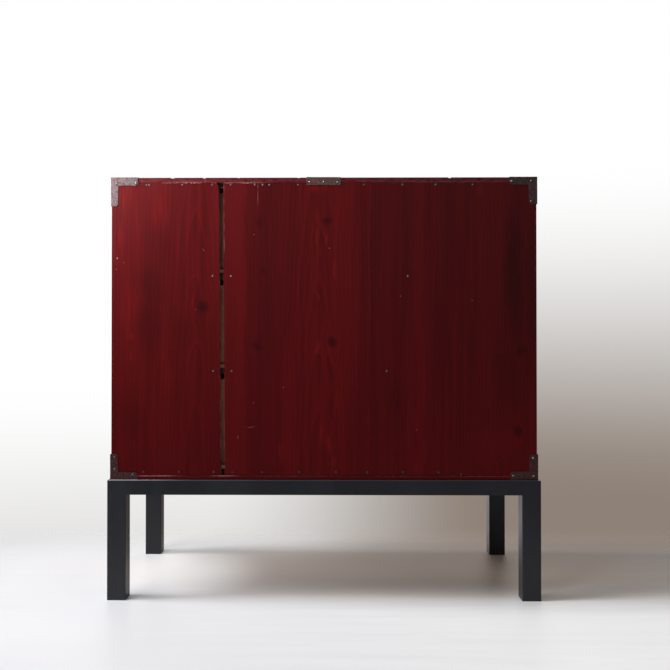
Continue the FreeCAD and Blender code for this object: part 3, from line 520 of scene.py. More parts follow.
lacquer_middle = red_lacquer(
    "red_lacquer_middle_board", "Z", (14, 186, 640), -0.05, 4.0,
    foot=0.45,
    # Painted highlight: the edge toward the window is coloured pale, as bare wood and as the light it
    # catches
    raw=(1.0, 0.0, 0.0),
    knots=[(156, 605, 8, 0.6), (-19, 613, 10, 0.7), (-11, 903, 8, 0.2)],
    clouds=[
        (149, 905, 10, 22, 0.45), (143, 787, 12, 14, 0.5), (-4, 903, 18, 14, 0.5),
        (-20, 470, 14, 60, 0.3), (-12, 545, 12, 45, 0.35),
    ],
    rubbed=[
        (14, 985, 34, 16, 0.7), (-8, 862, 7, 22, 0.6), (-26, 792, 7, 36, 0.9),
        (16, 727, 7, 26, 0.7), (14, 600, 6, 18, 0.8), (6, 395, 9, 40, 0.8),
        (-8, 372, 8, 34, 0.9), (-22, 330, 9, 22, 0.9), (-28, 470, 7, 46, 0.8),
        (-38, 520, 3, 150, 0.6), (16, 850, 8, 110, 0.5), (95, 350, 22, 50, 0.35),
    ],
    bands=[(188, 244, (5, 6), 0.40, "#781419"), (100, 188, (30, 5), 0.35, "#480B10")],
    scratches=[
        (174, 411.5, 11, 98), (205, 388, 6, 0), (157.7, 990, 9, 0), (157.7, 962, 24, 0),
        (-14, 840, 3, 60), (167, 873, 2.4, 0), (96, 507, 2.2, 0), (168, 470, 1.6, 0),
        # The arris beside the gap has lost its lacquer in places.
        (239.4, 984, 9, 0.4), (239.2, 952, 10, 0.4), (238.9, 921, 12, 0.4),
        (238.7, 892, 14, 0.4), (238.3, 850, 26, 0.4),
    ],
    seams=[(*TOP_SEAM, [(183, 997, 22, 9, 1.0), (220, 997, 40, 9, 0.6), (155, 997, 40, 9, 0.5)], CHIPPED)],
)
lacquer_wide = red_lacquer(
    "red_lacquer_wide_board", "Z", (-760, 40, 500), -0.03, 8.0,
    foot=0.25,
    knots=[(-474, 593, 10, 0.7), (-467, 405, 8, 0.8)],
    clouds=[
        (-455, 770, 38, 250, 0.75), (-464, 700, 24, 160, 0.6), (-494, 720, 26, 260, 0.5),
        (-440, 540, 50, 150, 0.4), (-170, 480, 26, 70, 0.3),
    ],
    rubbed=[(-378, 978, 26, 20, 0.5), (-420, 370, 90, 55, 0.3), (-236, 560, 7, 150, 0.3)],
    bands=[(-510, -111, (3, 3), 0.42, "#480B11"), (-240, -222, (4, 4), 0.3, "#7C1518")],
    scratches=[(-355, 715, 2.4, 10), (-184, 725, 2.0, 0), (-328, 300, 3, 0), (-222, 405, 1.6, 20)],
    seams=[(*TOP_SEAM, [(-300, 997, 220, 9, 0.5)], "#7A3A38")],
)
print("lacquers of the back boards ready")

# %% [markdown]
# ## Lacquer of the case and the drawers
# The sides, the top, the bottom and the drawer fronts have the same coat, on their outer faces only.
# A few tenths of a millimetre below the coated face the finish changes to bare cedar.

# %% Make the lacquers of the case
lacquer_upright = red_lacquer(
    "red_lacquer_sides", "Z", (0, 40, 500), 0.03, 12.0, inside=("X", 487.3, 487.1)
)
lacquer_top = red_lacquer(
    "red_lacquer_top", "X", (-1050, 20, 0), 0.02, 16.0,
    inside=("Z", 987.4, 987.1),
    rebate=(998.4, 998.2),
    clouds=[(1004, 430, 90, 430, 0.45)],
    scuffed=0.42,
    seams=[
        (998.9, 1.5, 0.36, [(321, 999, 60, 9, 1.0), (190, 999, 60, 9, 0.8)], "#A9706C"),
        (998.9, 1.2, 0.30, [(-300, 999, 220, 9, 0.5)], "#8A4A4C"),
    ],
)
lacquer_bottom = red_lacquer(
    "red_lacquer_bottom", "X", (-340, 20, 0), 0.02, 18.0,
    inside=("Z", 310.7, 310.9),
    rebate=(297.6, 297.8),
    clouds=[(292, 0, 60, 900, 0.35)],
    seams=[
        # Painted shade: a dark line along the lip's upper arris tones down the highlight that the arris
        # catches
        (297.2, 1.3, -0.30, [(0, 296, 530, 9, 0.75)], "#38080B"),
        (294.9, 1.2, 0.30, [(402, 296, 76, 8, 1.0), (238, 296, 44, 8, 0.8)], "#A46866"),
        (294.9, 1.2, 0.38, [(60, 296, 170, 8, 0.4), (-180, 296, 90, 8, 0.5), (-380, 296, 140, 8, 0.7)],
         "#7C4648"),
    ],
)
lacquer_fronts = red_lacquer(
    "red_lacquer_drawer_fronts", "X", (-640, -330, 0), 0.03, 21.0,
    gloss=0.22,
    inside=("Y", 216.3, 216.1),
)
print("lacquers of the case ready")

# %% [markdown]
# ## Bare cedar
# Inside, the wood was never coated. Seventy years of air have turned it a dull brown. It
# is planed and dry, so it scatters the light and hardly shines.

# %% Make the bare wood
def bare_cedar(name, grain, heart, seed, ground="#B08D69", edges=()):
    """Bare wood. Edges coloured otherwise are listed by axis, where the colour starts and is
    full, its share and the colour itself."""
    material, place = new_material(name)
    coords = add("Mapping", place, Rotation=TURNS[grain])
    late, early = year_rings(coords, heart, 0.03, 5.0, 4.0)
    layers = thinned([
        (streaks_of(coords, 40, 600, 0.35, 0.65, 2.0, seed), 0.5, "#8F6654"),
        (late, 0.45, "#76503F"),
        (early, 0.2, "#C9A184"),
        (streaks_of(coords, 1.8, 90, 0.38, 0.62, 3.0, seed + 2.0), 0.35, "#7E5848"),
        (streaks_of(coords, 90, 160, 0.5, 0.8, 4.0, seed + 4.0), 0.35, "#6B4B3E"),
    ])
    relief = add("Math", layers[1][0], layers[3][0], operation="ADD")
    bump = add("Bump", Strength=0.6, Distance=0.0003, Height=relief)
    for axis, start, full, share, hex_colour in edges:
        along = add("SeparateXYZ", place, out="XYZ".index(axis))
        layers.append((add("MapRange", along, start * MM, full * MM, 0.0, share), hex_colour))
    colour = layered(ground, layers)
    end_with(colour, 0.78, Specular_IOR_Level=0.25, Normal=bump)
    return material


bare_side = bare_cedar("bare_cedar_along_y", "Y", (300, 500, 0), 2.0)
# The drawer backs are lit and shaded copies of one wood: each tier's ground is painted lighter
# or darker for the light that reaches it through the gap. Each back stands on its floor, with a
# painted shadow in the joint above it, and the lowest is also darker towards its foot.
backs_with_painted_light = {}
for tier, ground, joint_z, lowest_dark in (
    ("upper", "#9C7268", 790.0, 0.0),
    ("middle", "#D0907A", 561.0, 0.0),
    ("lower", "#EC9F84", 319.0, 0.85),
):
    edges = (("Z", 545, 330, lowest_dark, "#6E4438"), ("Z", joint_z + 7.5, joint_z + 5.0, 0.85, "#3A231E"))
    backs_with_painted_light[tier] = bare_cedar("bare_cedar_back_painted_light_" + tier, "X", (-700, 30, 0), 1.0, ground, edges)
# The floor boards are paulownia, and its end is the palest wood inside: pale wood, painted paler still as
# painted light where little light reaches it.
end_grain_painted_light = ("Y", 224.9, 225.2, 1.0, "#D6A088")
bare_floor = bare_cedar("bare_paulownia", "X", (-500, 30, 0), 5.0, "#D6B48E", [end_grain_painted_light])
# The shelves are lacquered along their front edge, and their rear edge is coloured dark.
edges = (("Y", -226.2, -226.6, 1.0, "#64101A"), ("Y", 228.9, 229.2, 1.0, "#33322E"))
bare_shelf = bare_cedar("bare_cedar_shelf", "X", (-600, 30, 0), 7.0, edges=edges)
print("bare cedar ready")

# %% [markdown]
# ## Forged iron
# The straps are hand-hammered sheet iron with a burnt-lacquer skin. Where the skin has
# rubbed off the metal shines grey, and where damp came in it is brown with rust.

# %% Make the iron
def forged_iron(name, bright, skin, rust, rust_from, grit=9.0):
    """Dented iron: a bright metal, a dark skin over much of it, and dull rust in patches."""
    material, place = new_material(name)
    patch = add("TexNoise", place, Scale=1 / (grit * MM), Detail=5.0, Roughness=0.6)
    speck = add("TexNoise", place, Scale=1 / (4.5 * MM), Detail=5.0, Roughness=0.65)
    dents = add("TexVoronoi", place, Scale=1 / (5.5 * MM), Smoothness=0.6, feature="SMOOTH_F1")
    rusty = add("MapRange", patch, rust_from, rust_from + 0.1, **SMOOTH)
    skinned = add("MapRange", speck, 0.36, 0.64, 0.0, 0.8)
    metal = add("MapRange", rusty, 0.0, 1.0, 0.9, 0.15)
    rough = add("MapRange", rusty, 0.0, 1.0, 0.42, 0.8)
    height = add("Math", dents, 0.8, speck, operation="MULTIPLY_ADD")
    bump = add("Bump", Strength=0.5, Distance=0.0003, Height=height)
    colour = layered(bright, [(skinned, skin), (rusty, rust)])
    end_with(colour, rough, Metallic=metal, Normal=bump)
    return material


# The sheet of the straps: rubbed grey by hands and painted paler as a highlight where the soft box glares,
# still smoked brown, still black, and blackened
pale_highlit_iron = forged_iron("rubbed_and_highlit_sheet_iron", "#978389", "#746468", "#6B4F47", 0.51, grit=7.0)
strap_iron = forged_iron("smoked_sheet_iron", "#AD8C85", "#5C3F3C", "#6B3F33", 0.56)
dark_iron = forged_iron("lacquered_sheet_iron", "#6E4B4A", "#331D1E", "#3F2522", 0.60)
black_iron = forged_iron("blackened_sheet_iron", "#8C716F", "#433131", "#442C25", 0.62)
# Bars for the pulls, darker and less rusty, and nails from half worn to bright to rusted
pull_iron = forged_iron("forged_bar_iron", "#6E6763", "#332C2A", "#4A352B", 0.66)
nail_iron = forged_iron("worn_nail_iron", "#938486", "#645455", "#4F382F", 0.62, grit=3.0)
rubbed_nail_iron = forged_iron("rubbed_nail_iron", "#D6CCCC", "#8E8080", "#5A4038", 0.62, grit=3.0)
dull_nail_iron = forged_iron("rusted_nail_iron", "#5F4E4D", "#3C2C2B", "#3B2320", 0.50, grit=3.0)
# The blackened lacquer round a nail, dull and patchy
stain, place = new_material("iron_stain_on_lacquer")
patchy = add("TexNoise", place, Scale=1 / (2.0 * MM), Detail=3.0)
end_with(layered("#2A0A0C", [(patchy, "#4A1012")]), 0.5, Specular_IOR_Level=0.3)
print("iron ready")

# %% [markdown]
# ## Black stand
# The stand is new beech under a sprayed satin black, which hides the wood and lets a trace of its
# pores show in the gloss. Its four screws are zinc-plated steel, a cool grey with a broken shine.

# %% Make the black coat and the screw steel
black_coat, place = new_material("satin_black_on_beech")
place_x, place_y, _ = add("SeparateXYZ", place, out="all")
pores = streaks_of(place, 1.6, 9, 0.45, 0.62, 2.0)
cloudy = streaks_of(place, 45, 120, 0.3, 0.7, 3.0, 2.0)
# Painted highlight: a pale sheen along the rim of the rear ledge, strongest at the corner by the window
facing_up = add("SeparateXYZ", add("NewGeometry", out=3), out=2)
facing_up = add("MapRange", facing_up, 0.7, 0.95)
rim = add("MapRange", place_y, 239.5 * MM, 241.5 * MM)
painted_rim_sheen = add("MapRange", place_x, 0.32, 0.45, 0.10, 1.0)
painted_rim_sheen = add("Math", painted_rim_sheen, facing_up, **TIMES)
painted_rim_sheen = add("Math", painted_rim_sheen, rim, **TIMES)
# The black is a little blue: partly its own colour, partly the bluish daylight that it reflects, painted in
colour = layered("#10121A", [(pores, "#0D0F15"), (cloudy, "#14161F"), (painted_rim_sheen, "#B0AEBB")])
rough = add("MapRange", cloudy, 0.0, 1.0, 0.38, 0.46)
bump = add("Bump", Strength=0.25, Distance=0.0001, Height=pores)
end_with(colour, rough, Specular_IOR_Level=0.5, Normal=bump)

screw_steel, place = new_material("zinc_plated_steel")
haze = add("TexNoise", place, Scale=1 / (2.5 * MM), Detail=3.0)
rough = add("MapRange", haze, 0.0, 1.0, 0.25, 0.45)
end_with(layered("#A9ABAD", [(haze, "#8D8F90")]), rough, Metallic=1.0)
print("stand finishes ready")

# %% [markdown]
# ## Dress the construction pieces
# Most pieces are right as they were built and only need a finish. The first letters of a piece's name
# say what it is, so a short list pairs them with finishes.

# %% Give the construction pieces their finishes
FINISHES = (
    ("stand_screws", screw_steel),
    ("stand_", black_coat),
    ("back_board_narrow", lacquer_narrow),
    ("back_board_middle", lacquer_middle),
    ("back_board_wide", lacquer_wide),
    ("back_board_nails", nail_iron),
    ("iron_nails", nail_iron),
    ("corner_irons", strap_iron),
    ("top_edge_straps", strap_iron),
    ("case_side", lacquer_upright),
    ("case_top", lacquer_top),
    ("case_bottom", lacquer_bottom),
    ("partition", bare_shelf),
    ("drawer_front", lacquer_fronts),
    ("drawer_side", bare_side),
    ("drawer_floor", bare_floor),
    *(("drawer_back_" + tier, wood) for tier, wood in backs_with_painted_light.items()),
    ("pull_", pull_iron),
    ("bail_", pull_iron),
    ("lock_", pull_iron),
)
for name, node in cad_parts.items():
    finish = next(material for start, material in FINISHES if name.startswith(start))
    slots = node.data.materials
    for index in range(len(slots)):
        slots[index] = finish
    if not slots:
        slots.append(finish)
print("dressed", len(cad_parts), "construction nodes")

# %% [markdown]
# ## Helpers for modelling
# New pieces are modelled as by hand: a primitive is added at its place, and its faces or edges are
# picked by where they lie and then pushed, pulled, cut and bevelled in edit mode. A new primitive is
# selected as a whole, so each step clears the selection and picks anew.

# %% Helpers for starting and picking
def begin(name, primitive, **settings):
    """Add a primitive with nothing else selected, and keep its place in its mesh."""
    bpy.ops.object.select_all(action="DESELECT")
    primitive(**settings)
    piece = bpy.context.object
    piece.name = name
    piece.data.name = name
    bpy.ops.object.transform_apply(location=True, rotation=True, scale=True)
    return piece


def block(name, low, high):
    """A box between two corners in millimetres."""
    size = [(b - a) * MM for a, b in zip(low, high)]
    middle = [(a + b) / 2 * MM for a, b in zip(low, high)]
    return begin(name, bpy.ops.mesh.primitive_cube_add, size=1, location=middle, scale=size)


def drum(name, sides, radius, depth, place, turn=(0, 0, 0)):
    """A cylinder round a place in millimetres, upright unless it is turned."""
    return begin(
        name,
        bpy.ops.mesh.primitive_cylinder_add,
        vertices=sides,
        radius=radius * MM,
        depth=depth * MM,
        location=[c * MM for c in place],
        rotation=turn,
    )


def select_only(*pieces):
    """Select pieces and nothing else, with the first one active."""
    bpy.ops.object.select_all(action="DESELECT")
    for piece in pieces:
        piece.select_set(True)
    bpy.context.view_layer.objects.active = pieces[0]


def copy_of(model, name):
    """A selected copy of a piece, with a mesh of its own."""
    piece = bpy.data.objects.new(name, model.data.copy())
    piece.data.name = name
    bpy.context.scene.collection.objects.link(piece)
    select_only(piece)
    return piece


def merged_copy(node_name, name):
    """A copy of a construction piece with its triangles merged, ready in edit mode."""
    piece = copy_of(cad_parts[node_name], name)
    bpy.ops.object.mode_set(mode="EDIT")
    bpy.ops.mesh.select_all(action="SELECT")
    bpy.ops.mesh.remove_doubles(threshold=0.00001)
    return piece


def joined(pieces, name):
    """Join pieces to one of that name."""
    select_only(*pieces)
    bpy.ops.object.join()
    pieces[0].name = name
    pieces[0].data.name = name
    return pieces[0]


def pick(piece, kind, test):
    """Enter edit mode with only the faces or edges selected whose place passes the test.
    The test gets the middle in millimetres and the normal, or the direction of an edge."""
    bpy.ops.object.mode_set(mode="EDIT")
    bpy.ops.mesh.select_mode(type=kind)
    bpy.ops.mesh.select_all(action="DESELECT")
    bpy.ops.object.mode_set(mode="OBJECT")
    mesh = piece.data
    if kind == "FACE":
        for face in mesh.polygons:
            face.select = test(face.center / MM, face.normal)
    else:
        for edge in mesh.edges:
            a, b = (mesh.vertices[index].co for index in edge.vertices)
            edge.select = test((a + b) / 2 / MM, (b - a).normalized())
    bpy.ops.object.mode_set(mode="EDIT")


print("helpers for starting and picking ready")

# %% Helpers for shaping and finishing
def pull(vector, steps=1):
    """Extrude what is selected along a vector in millimetres, in equal steps."""
    step = [c * MM / steps for c in vector]
    for _ in range(steps):
        bpy.ops.mesh.extrude_region_move(TRANSFORM_OT_translate={"value": step})


def shift(vector):
    """Move what is selected along a vector in millimetres."""
    bpy.ops.transform.translate(value=[c * MM for c in vector])


def cut(place, normal, drop=False):
    """Cut the whole mesh along a plane, and keep both halves or only the one behind it."""
    bpy.ops.object.mode_set(mode="EDIT")
    bpy.ops.mesh.select_all(action="SELECT")
    point = [c * MM for c in place]
    bpy.ops.mesh.bisect(plane_co=point, plane_no=normal, clear_outer=drop, use_fill=drop)


def nudge(reach, seed):
    """Move every point a little at random, as hammering does."""
    bpy.ops.mesh.select_all(action="SELECT")
    bpy.ops.transform.vertex_random(offset=reach * MM, uniform=0.0, normal=0.0, seed=seed)


def shade_flat_faces_flat(piece, angle=40):
    """Smooth the shading over narrow edges only, and leave the broad faces truly flat."""
    bpy.ops.object.mode_set(mode="OBJECT")
    bpy.ops.object.shade_smooth_by_angle(angle=math.radians(angle))
    weighted = piece.modifiers.new("flat faces", "WEIGHTED_NORMAL")
    weighted.keep_sharp = True
    bpy.ops.object.modifier_apply(modifier=weighted.name)


def finish_edges(piece, width, segments=2, angle=35):
    """Soften every sharp edge by a bevel and smooth the shading between."""
    bpy.ops.object.mode_set(mode="OBJECT")
    bevel = piece.modifiers.new("eased edges", "BEVEL")
    bevel.width = width * MM
    bevel.segments = segments
    bevel.limit_method = "ANGLE"
    bevel.angle_limit = math.radians(angle)
    bpy.ops.object.modifier_apply(modifier=bevel.name)
    shade_flat_faces_flat(piece)


def settle(piece, body, finish, slot_name, *nodes):
    """Give a piece its material, the body it moves with and the nodes it stands for. With
    no finish it keeps the materials that it has."""
    if finish:
        piece.data.materials.clear()
        piece.data.materials.append(finish)
    if nodes:
        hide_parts(*nodes)
    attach(piece, body)


print("helpers for shaping and finishing ready")

# %% [markdown]
# ## Corner irons
# Each corner of the case is held by sheet iron, cut by eye into an L and folded round onto the side
# and the top. No two are alike: arms differ in width and length, edges wander, and the lower ones
# stand off the side a little. A small block at the corner is extruded into the two arms, and its
# overhang into the folds. Then the free corners are clipped and all points nudged at random.

# %% Model the corner irons
CASE_X = 509.0
CASE_BACK_Y = 237.25
CASE_FRONT_Y = -226.75
CASE_TOP_Z = 1010.0
CASE_BOTTOM_Z = 286.0
IRON_SHEET = 1.6
TOP_FOLD_SHEET = 0.8  # hammered thin where it lies on the top board
ARM_STEPS = 6
FOLD_STEPS = 3
CLIPPED = 4.6  # cut off each free corner


def corner_iron(name, side, shape, seed):
    """An iron for one corner. Side gives the signs of x, y and z, and shape its sizes."""
    across, up, level_arm, upright_arm, fold, stand_off = shape
    top = side[2] > 0
    over = TOP_FOLD_SHEET if top else 0.0
    piece = block(name, (-upright_arm, 0, -level_arm), (stand_off, IRON_SHEET, over))
    pick(piece, "FACE", lambda c, n: n.x < -0.5)
    pull((upright_arm - across, 0, 0), ARM_STEPS)
    pick(piece, "FACE", lambda c, n: n.z < -0.5 and c.x > -upright_arm and c.z < -level_arm + 1)
    pull((0, 0, level_arm - up), ARM_STEPS)
    cut((0, 0, 0), (1, 0, 0))
    if top:
        cut((0, 0, 0), (0, 0, 1))
    pick(piece, "FACE", lambda c, n: n.y < -0.5 and (c.x > 0 or c.z > 0))
    pull((0, -fold, 0), FOLD_STEPS)
    ends = [(-across, None, -level_arm), (-upright_arm, None, -up)]
    ends += [(None, -fold, -up), (-across, -fold, None)]

    def is_free_corner(c, d):
        return any(
            all(want is None or abs(want - got) < 0.6 for want, got in zip(end, c)) for end in ends
        )

    pick(piece, "EDGE", is_free_corner)
    bpy.ops.mesh.bevel(offset=CLIPPED * MM, segments=1, affect="EDGES")
    nudge(0.28, seed)
    bpy.ops.transform.resize(value=side, center_override=(0, 0, 0))
    face_y = CASE_BACK_Y if side[1] > 0 else CASE_FRONT_Y
    shift((side[0] * CASE_X, face_y, CASE_TOP_Z if top else CASE_BOTTOM_Z))
    bpy.ops.mesh.normals_make_consistent(inside=False)
    finish_edges(piece, 0.35)
    return piece


# Name, finish, side, and then: reach across, reach up, height of the level arm, width of
# the upright arm, depth of the folds, and how far the side fold stands off the wood
IRONS = (
    ("back_upper_right", pale_highlit_iron, (1, 1, 1), (63.2, 68.4, 19.2, 15.6, 18.0, 1.6)),
    ("back_upper_left", black_iron, (-1, 1, 1), (64.5, 64.5, 17.6, 18.0, 18.6, 1.9)),
    ("back_lower_right", dark_iron, (1, 1, -1), (63.0, 60.5, 17.3, 16.2, 18.2, 2.6)),
    ("back_lower_left", dark_iron, (-1, 1, -1), (63.0, 62.0, 21.0, 18.6, 18.8, 2.6)),
    ("front_upper_right", strap_iron, (1, -1, 1), (66.0, 65.0, 18.2, 17.8, 18.4, 1.8)),
    ("front_upper_left", dark_iron, (-1, -1, 1), (65.0, 67.0, 17.6, 18.6, 18.0, 1.7)),
    ("front_lower_right", dark_iron, (1, -1, -1), (65.0, 61.0, 18.8, 17.4, 18.6, 2.0)),
    ("front_lower_left", dark_iron, (-1, -1, -1), (66.0, 62.0, 18.0, 18.2, 18.2, 2.2)),
)
for number, (corner, finish, side, shape) in enumerate(IRONS):
    iron = corner_iron("corner_iron_" + corner, side, shape, seed=11 + number)
    node = "corner_irons_back" if side[1] > 0 else "corner_irons_front"
    settle(iron, "case", finish, "forged_iron", node)
print("corner irons:", len(IRONS))

# %% [markdown]
# ## Edge straps
# A short strap is folded over the middle of the top edge, at the back and over the drawers, and keeps
# the top from lifting. It sits a little askew. A block gets cross cuts, so that its edges can wander,
# and its overhang becomes the fold.

# %% Model the edge straps
STRAP_HALF = 41.0
STRAP_DROP = 18.3


def edge_strap(name, side_y, tilt, seed):
    """A strap on the back (side_y 1) or the front (-1), tilted by some degrees."""
    piece = block(name, (-STRAP_HALF, 0, -STRAP_DROP), (STRAP_HALF, IRON_SHEET, TOP_FOLD_SHEET))
    cut((0, 0, 0), (0, 0, 1))
    for share in (-0.6, -0.2, 0.2, 0.6):
        cut((STRAP_HALF * share, 0, 0), (1, 0, 0))
    pick(piece, "FACE", lambda c, n: n.y < -0.5 and c.z > 0)
    pull((0, -STRAP_DROP, 0), FOLD_STEPS)

    def is_end_corner(c, d):
        low = abs(c.z + STRAP_DROP) < 0.5 or abs(c.y + STRAP_DROP) < 0.5
        return low and abs(abs(c.x) - STRAP_HALF) < 0.5

    pick(piece, "EDGE", is_end_corner)
    bpy.ops.mesh.bevel(offset=3.4 * MM, segments=2, affect="EDGES")
    nudge(0.22, seed)
    bpy.ops.transform.rotate(value=math.radians(tilt), orient_axis="Y", center_override=(0, 0, 0))
    bpy.ops.transform.resize(value=(1, side_y, 1), center_override=(0, 0, 0))
    shift((0, CASE_BACK_Y if side_y > 0 else CASE_FRONT_Y, CASE_TOP_Z))
    bpy.ops.mesh.normals_make_consistent(inside=False)
    finish_edges(piece, 0.35)
    return piece


for end, side_y, tilt, seed in (("back", 1, 0.4, 31), ("front", -1, -0.3, 32)):
    strap = edge_strap("edge_strap_" + end, side_y, tilt, seed)
    settle(strap, "case", strap_iron, "forged_iron", "top_edge_straps")
print("edge straps: 2")

# %% [markdown]
# ## Back boards
# Three upright cedar boards are nailed into the rebates of the case. The narrow one has shrunk away
# from its neighbour, left a gap that leans a little, and lost its corner at the top of the gap. Each
# board starts as a block. Its edge is moved at the top to lean, the broken corner is bisected off
# twice so that it looks torn, and cuts at uneven heights let the edges at the gap wander by a few
# tenths of a millimetre.

# %% Model the back boards
BOARD_INNER_Y = 229.25
BOARD_LOW_Z = 297.9
BOARD_HIGH_Z = 998.1


def back_board(name, inner, outer, seed):
    """An upright board between two edges, each given by its x at the bottom and at the top
    and by how far it wanders."""
    chance = random.Random(seed)
    piece = block(name, (inner[0], BOARD_INNER_Y, BOARD_LOW_Z), (outer[0], CASE_BACK_Y, BOARD_HIGH_Z))
    for x, top_x, _ in (inner, outer):
        pick(piece, "EDGE", lambda c, d: abs(c.x - x) < 0.1 and c.z > BOARD_HIGH_Z - 0.1)
        shift((top_x - x, 0, 0))
    height = BOARD_LOW_Z
    while height < BOARD_HIGH_Z - 60:
        height += chance.uniform(18, 52)
        cut((0, 0, height), (0, 0, 1))
        for x, _, wander in (inner, outer):
            pick(
                piece,
                "EDGE",
                lambda c, d: abs(c.z - height) < 0.1 and abs(d.y) > 0.9 and abs(c.x - x) < 6,
            )
            shift((chance.uniform(-wander, wander), 0, 0))
    return piece


narrow = back_board("back_board_narrow_worn", (245.6, 250.4, 0.4), (509.0, 509.0, 0.0), 5)
cut((257.9, 0, BOARD_HIGH_Z), (-0.83, 0, 0.56), drop=True)
cut((254.4, BOARD_INNER_Y, BOARD_HIGH_Z), (-0.97, 0.12, 0.22), drop=True)
finish_edges(narrow, 0.5)
middle = back_board("back_board_middle_worn", (-114.5, -114.5, 0.05), (236.1, 240.9, 0.4), 6)
finish_edges(middle, 0.3)
wide = back_board("back_board_wide_worn", (-509.0, -509.0, 0.0), (-114.9, -114.9, 0.05), 7)
finish_edges(wide, 0.3)
boards = ((narrow, lacquer_narrow), (middle, lacquer_middle), (wide, lacquer_wide))
for board, finish in boards:
    settle(board, "case", finish, "lacquered_wood", board.name.removesuffix("_worn"))
print("back boards:", [round(board.dimensions.x / MM, 1) for board, _ in boards])

# %% [markdown]
# ## The worn top
# Five small notches are bitten out of the rear edge of the top. The board's housings and mortise are
# right, so a copy of it is taken and its loose triangles are merged. It is cut across on both sides
# of each notch, and the edge between the cuts is pushed down and in.

# %% Model the worn top
NOTCHES = ((363.0, 5.0, 2.2), (286.5, 4.2, 1.8), (-302.0, 4.0, 1.6), (204.0, 3.0, 0.9), (60.0, 4.0, 0.8))
top = merged_copy("case_top", "case_top_worn")
bpy.ops.mesh.dissolve_limited(angle_limit=math.radians(1))
for x, half, depth in NOTCHES:

    def in_notch(c, d):
        on_edge = c.y > CASE_BACK_Y - 1.2 and c.z > CASE_TOP_Z - 1.2
        return on_edge and abs(c.x - x) < half * 0.6

    for place in (x - half, x - half * 0.5, x + half * 0.4, x + half):
        cut((place, 0, 0), (1, 0, 0))
    pick(top, "EDGE", in_notch)
    shift((0, -0.5 * depth, -depth))
shade_flat_faces_flat(top, angle=30)
settle(top, "case", lacquer_top, "lacquered_wood", "case_top")
print("worn top:", len(top.data.polygons), "faces")

# %% [markdown]
# ## Nail heads
# The nails were forged, so their heads are low domes with a few flat hammer marks. A short ten-sided
# cylinder gets its top inset and raised twice. A flat ring round its foot is the dark stain that iron
# leaves in the lacquer.

# %% Model the nail heads
HEAD_RADIUS = 2.1
HEAD_FOOT = 0.40
HEAD_HEIGHT = 1.1
STAIN_RADIUS = 3.3
STAIN_SHEET = 0.12


def nail_head(name, finish, with_stain=True):
    """One head at the origin, facing +Z."""
    head = drum(name, 10, HEAD_RADIUS, HEAD_FOOT, (0, 0, HEAD_FOOT / 2))
    pick(head, "FACE", lambda c, n: n.z > 0.5)
    bpy.ops.mesh.inset(thickness=0.55 * MM, depth=0.32 * MM)
    bpy.ops.mesh.inset(thickness=0.75 * MM, depth=0.18 * MM)
    nudge(0.06, 3)
    bpy.ops.object.mode_set(mode="OBJECT")
    head.data.materials.append(finish)
    if with_stain:
        ring = drum(name + "_stain", 12, STAIN_RADIUS, STAIN_SHEET, (0, 0, STAIN_SHEET / 2))
        pick(ring, "FACE", lambda c, n: n.z > 0.5)
        bpy.ops.mesh.bevel(offset=0.06 * MM, segments=1, affect="EDGES")
        nudge(0.03, 9)
        bpy.ops.object.mode_set(mode="OBJECT")
        ring.data.materials.append(stain)
        joined((head, ring), name)
    return head


plain_head = nail_head("nail_head", pull_iron, with_stain=False)
stained_head = nail_head("nail_head_with_stain", nail_iron)
rusted_head = nail_head("nail_head_rusted", dull_nail_iron)
rubbed_head = nail_head("nail_head_rubbed", rubbed_nail_iron)
print("nail head:", [round(size / MM, 1) for size in stained_head.dimensions], "mm")

# %% [markdown]
# ## Drive the nails home
# A merged copy of the construction nails falls apart into single nails, and the outer end of each is
# where its head sits. Each head is turned, tilted and sized a little differently. The lowest nails of
# the boards, and those of the lower irons by the window, have rusted. Those of the other irons are
# rubbed bright.

# %% Find the places of the nails
def head_places(node_name):
    """Where the heads of a group of construction nails sit, and which way each one faces."""
    merged_copy(node_name, node_name + "_apart")
    bpy.ops.mesh.separate(type="LOOSE")
    bpy.ops.object.mode_set(mode="OBJECT")
    places = []
    for nail in bpy.context.selected_objects:
        points = [vertex.co for vertex in nail.data.vertices]
        low = Vector([min(point[axis] for point in points) for axis in range(3)])
        high = Vector([max(point[axis] for point in points) for axis in range(3)])
        size = high - low
        axis = max(range(3), key=lambda a: size[a])
        sign = 1 if (low + high)[axis] > 0 else -1
        outward = Vector([sign if a == axis else 0 for a in range(3)])
        place = (low + high) / 2 + outward * (size[axis] / 2 - HEAD_HEIGHT * MM)
        places.append((tuple(round(c / MM, 3) for c in place), tuple(outward)))
    bpy.ops.object.delete()
    return sorted(places)


MIDDLE_Z = 650.0  # the irons above this height are those of the top
STAND_OFF = {side: shape[5] for _, _, side, shape in IRONS}


def on_its_iron(place, outward):
    """Move the head of an iron's nail in or out to where its own sheet stands."""
    x, y, z = place
    if outward[0]:
        corner = tuple(1 if c > limit else -1 for c, limit in zip(place, (0, 0, MIDDLE_Z)))
        return (outward[0] * (CASE_X + STAND_OFF[corner] - 0.1), y, z)
    if outward[2]:
        return (x, y, CASE_TOP_Z + TOP_FOLD_SHEET)
    return (x, y + outward[1] * 0.15, z)


board_places = head_places("back_board_nails")
iron_places = [(on_its_iron(*nail), nail[1]) for nail in head_places("iron_nails")]
print("nails:", len(board_places), "in the boards,", len(iron_places), "in the irons")

# %% Hammer the heads in
DAMP_Z = 330.0  # below this height the nails of the boards have rusted dark


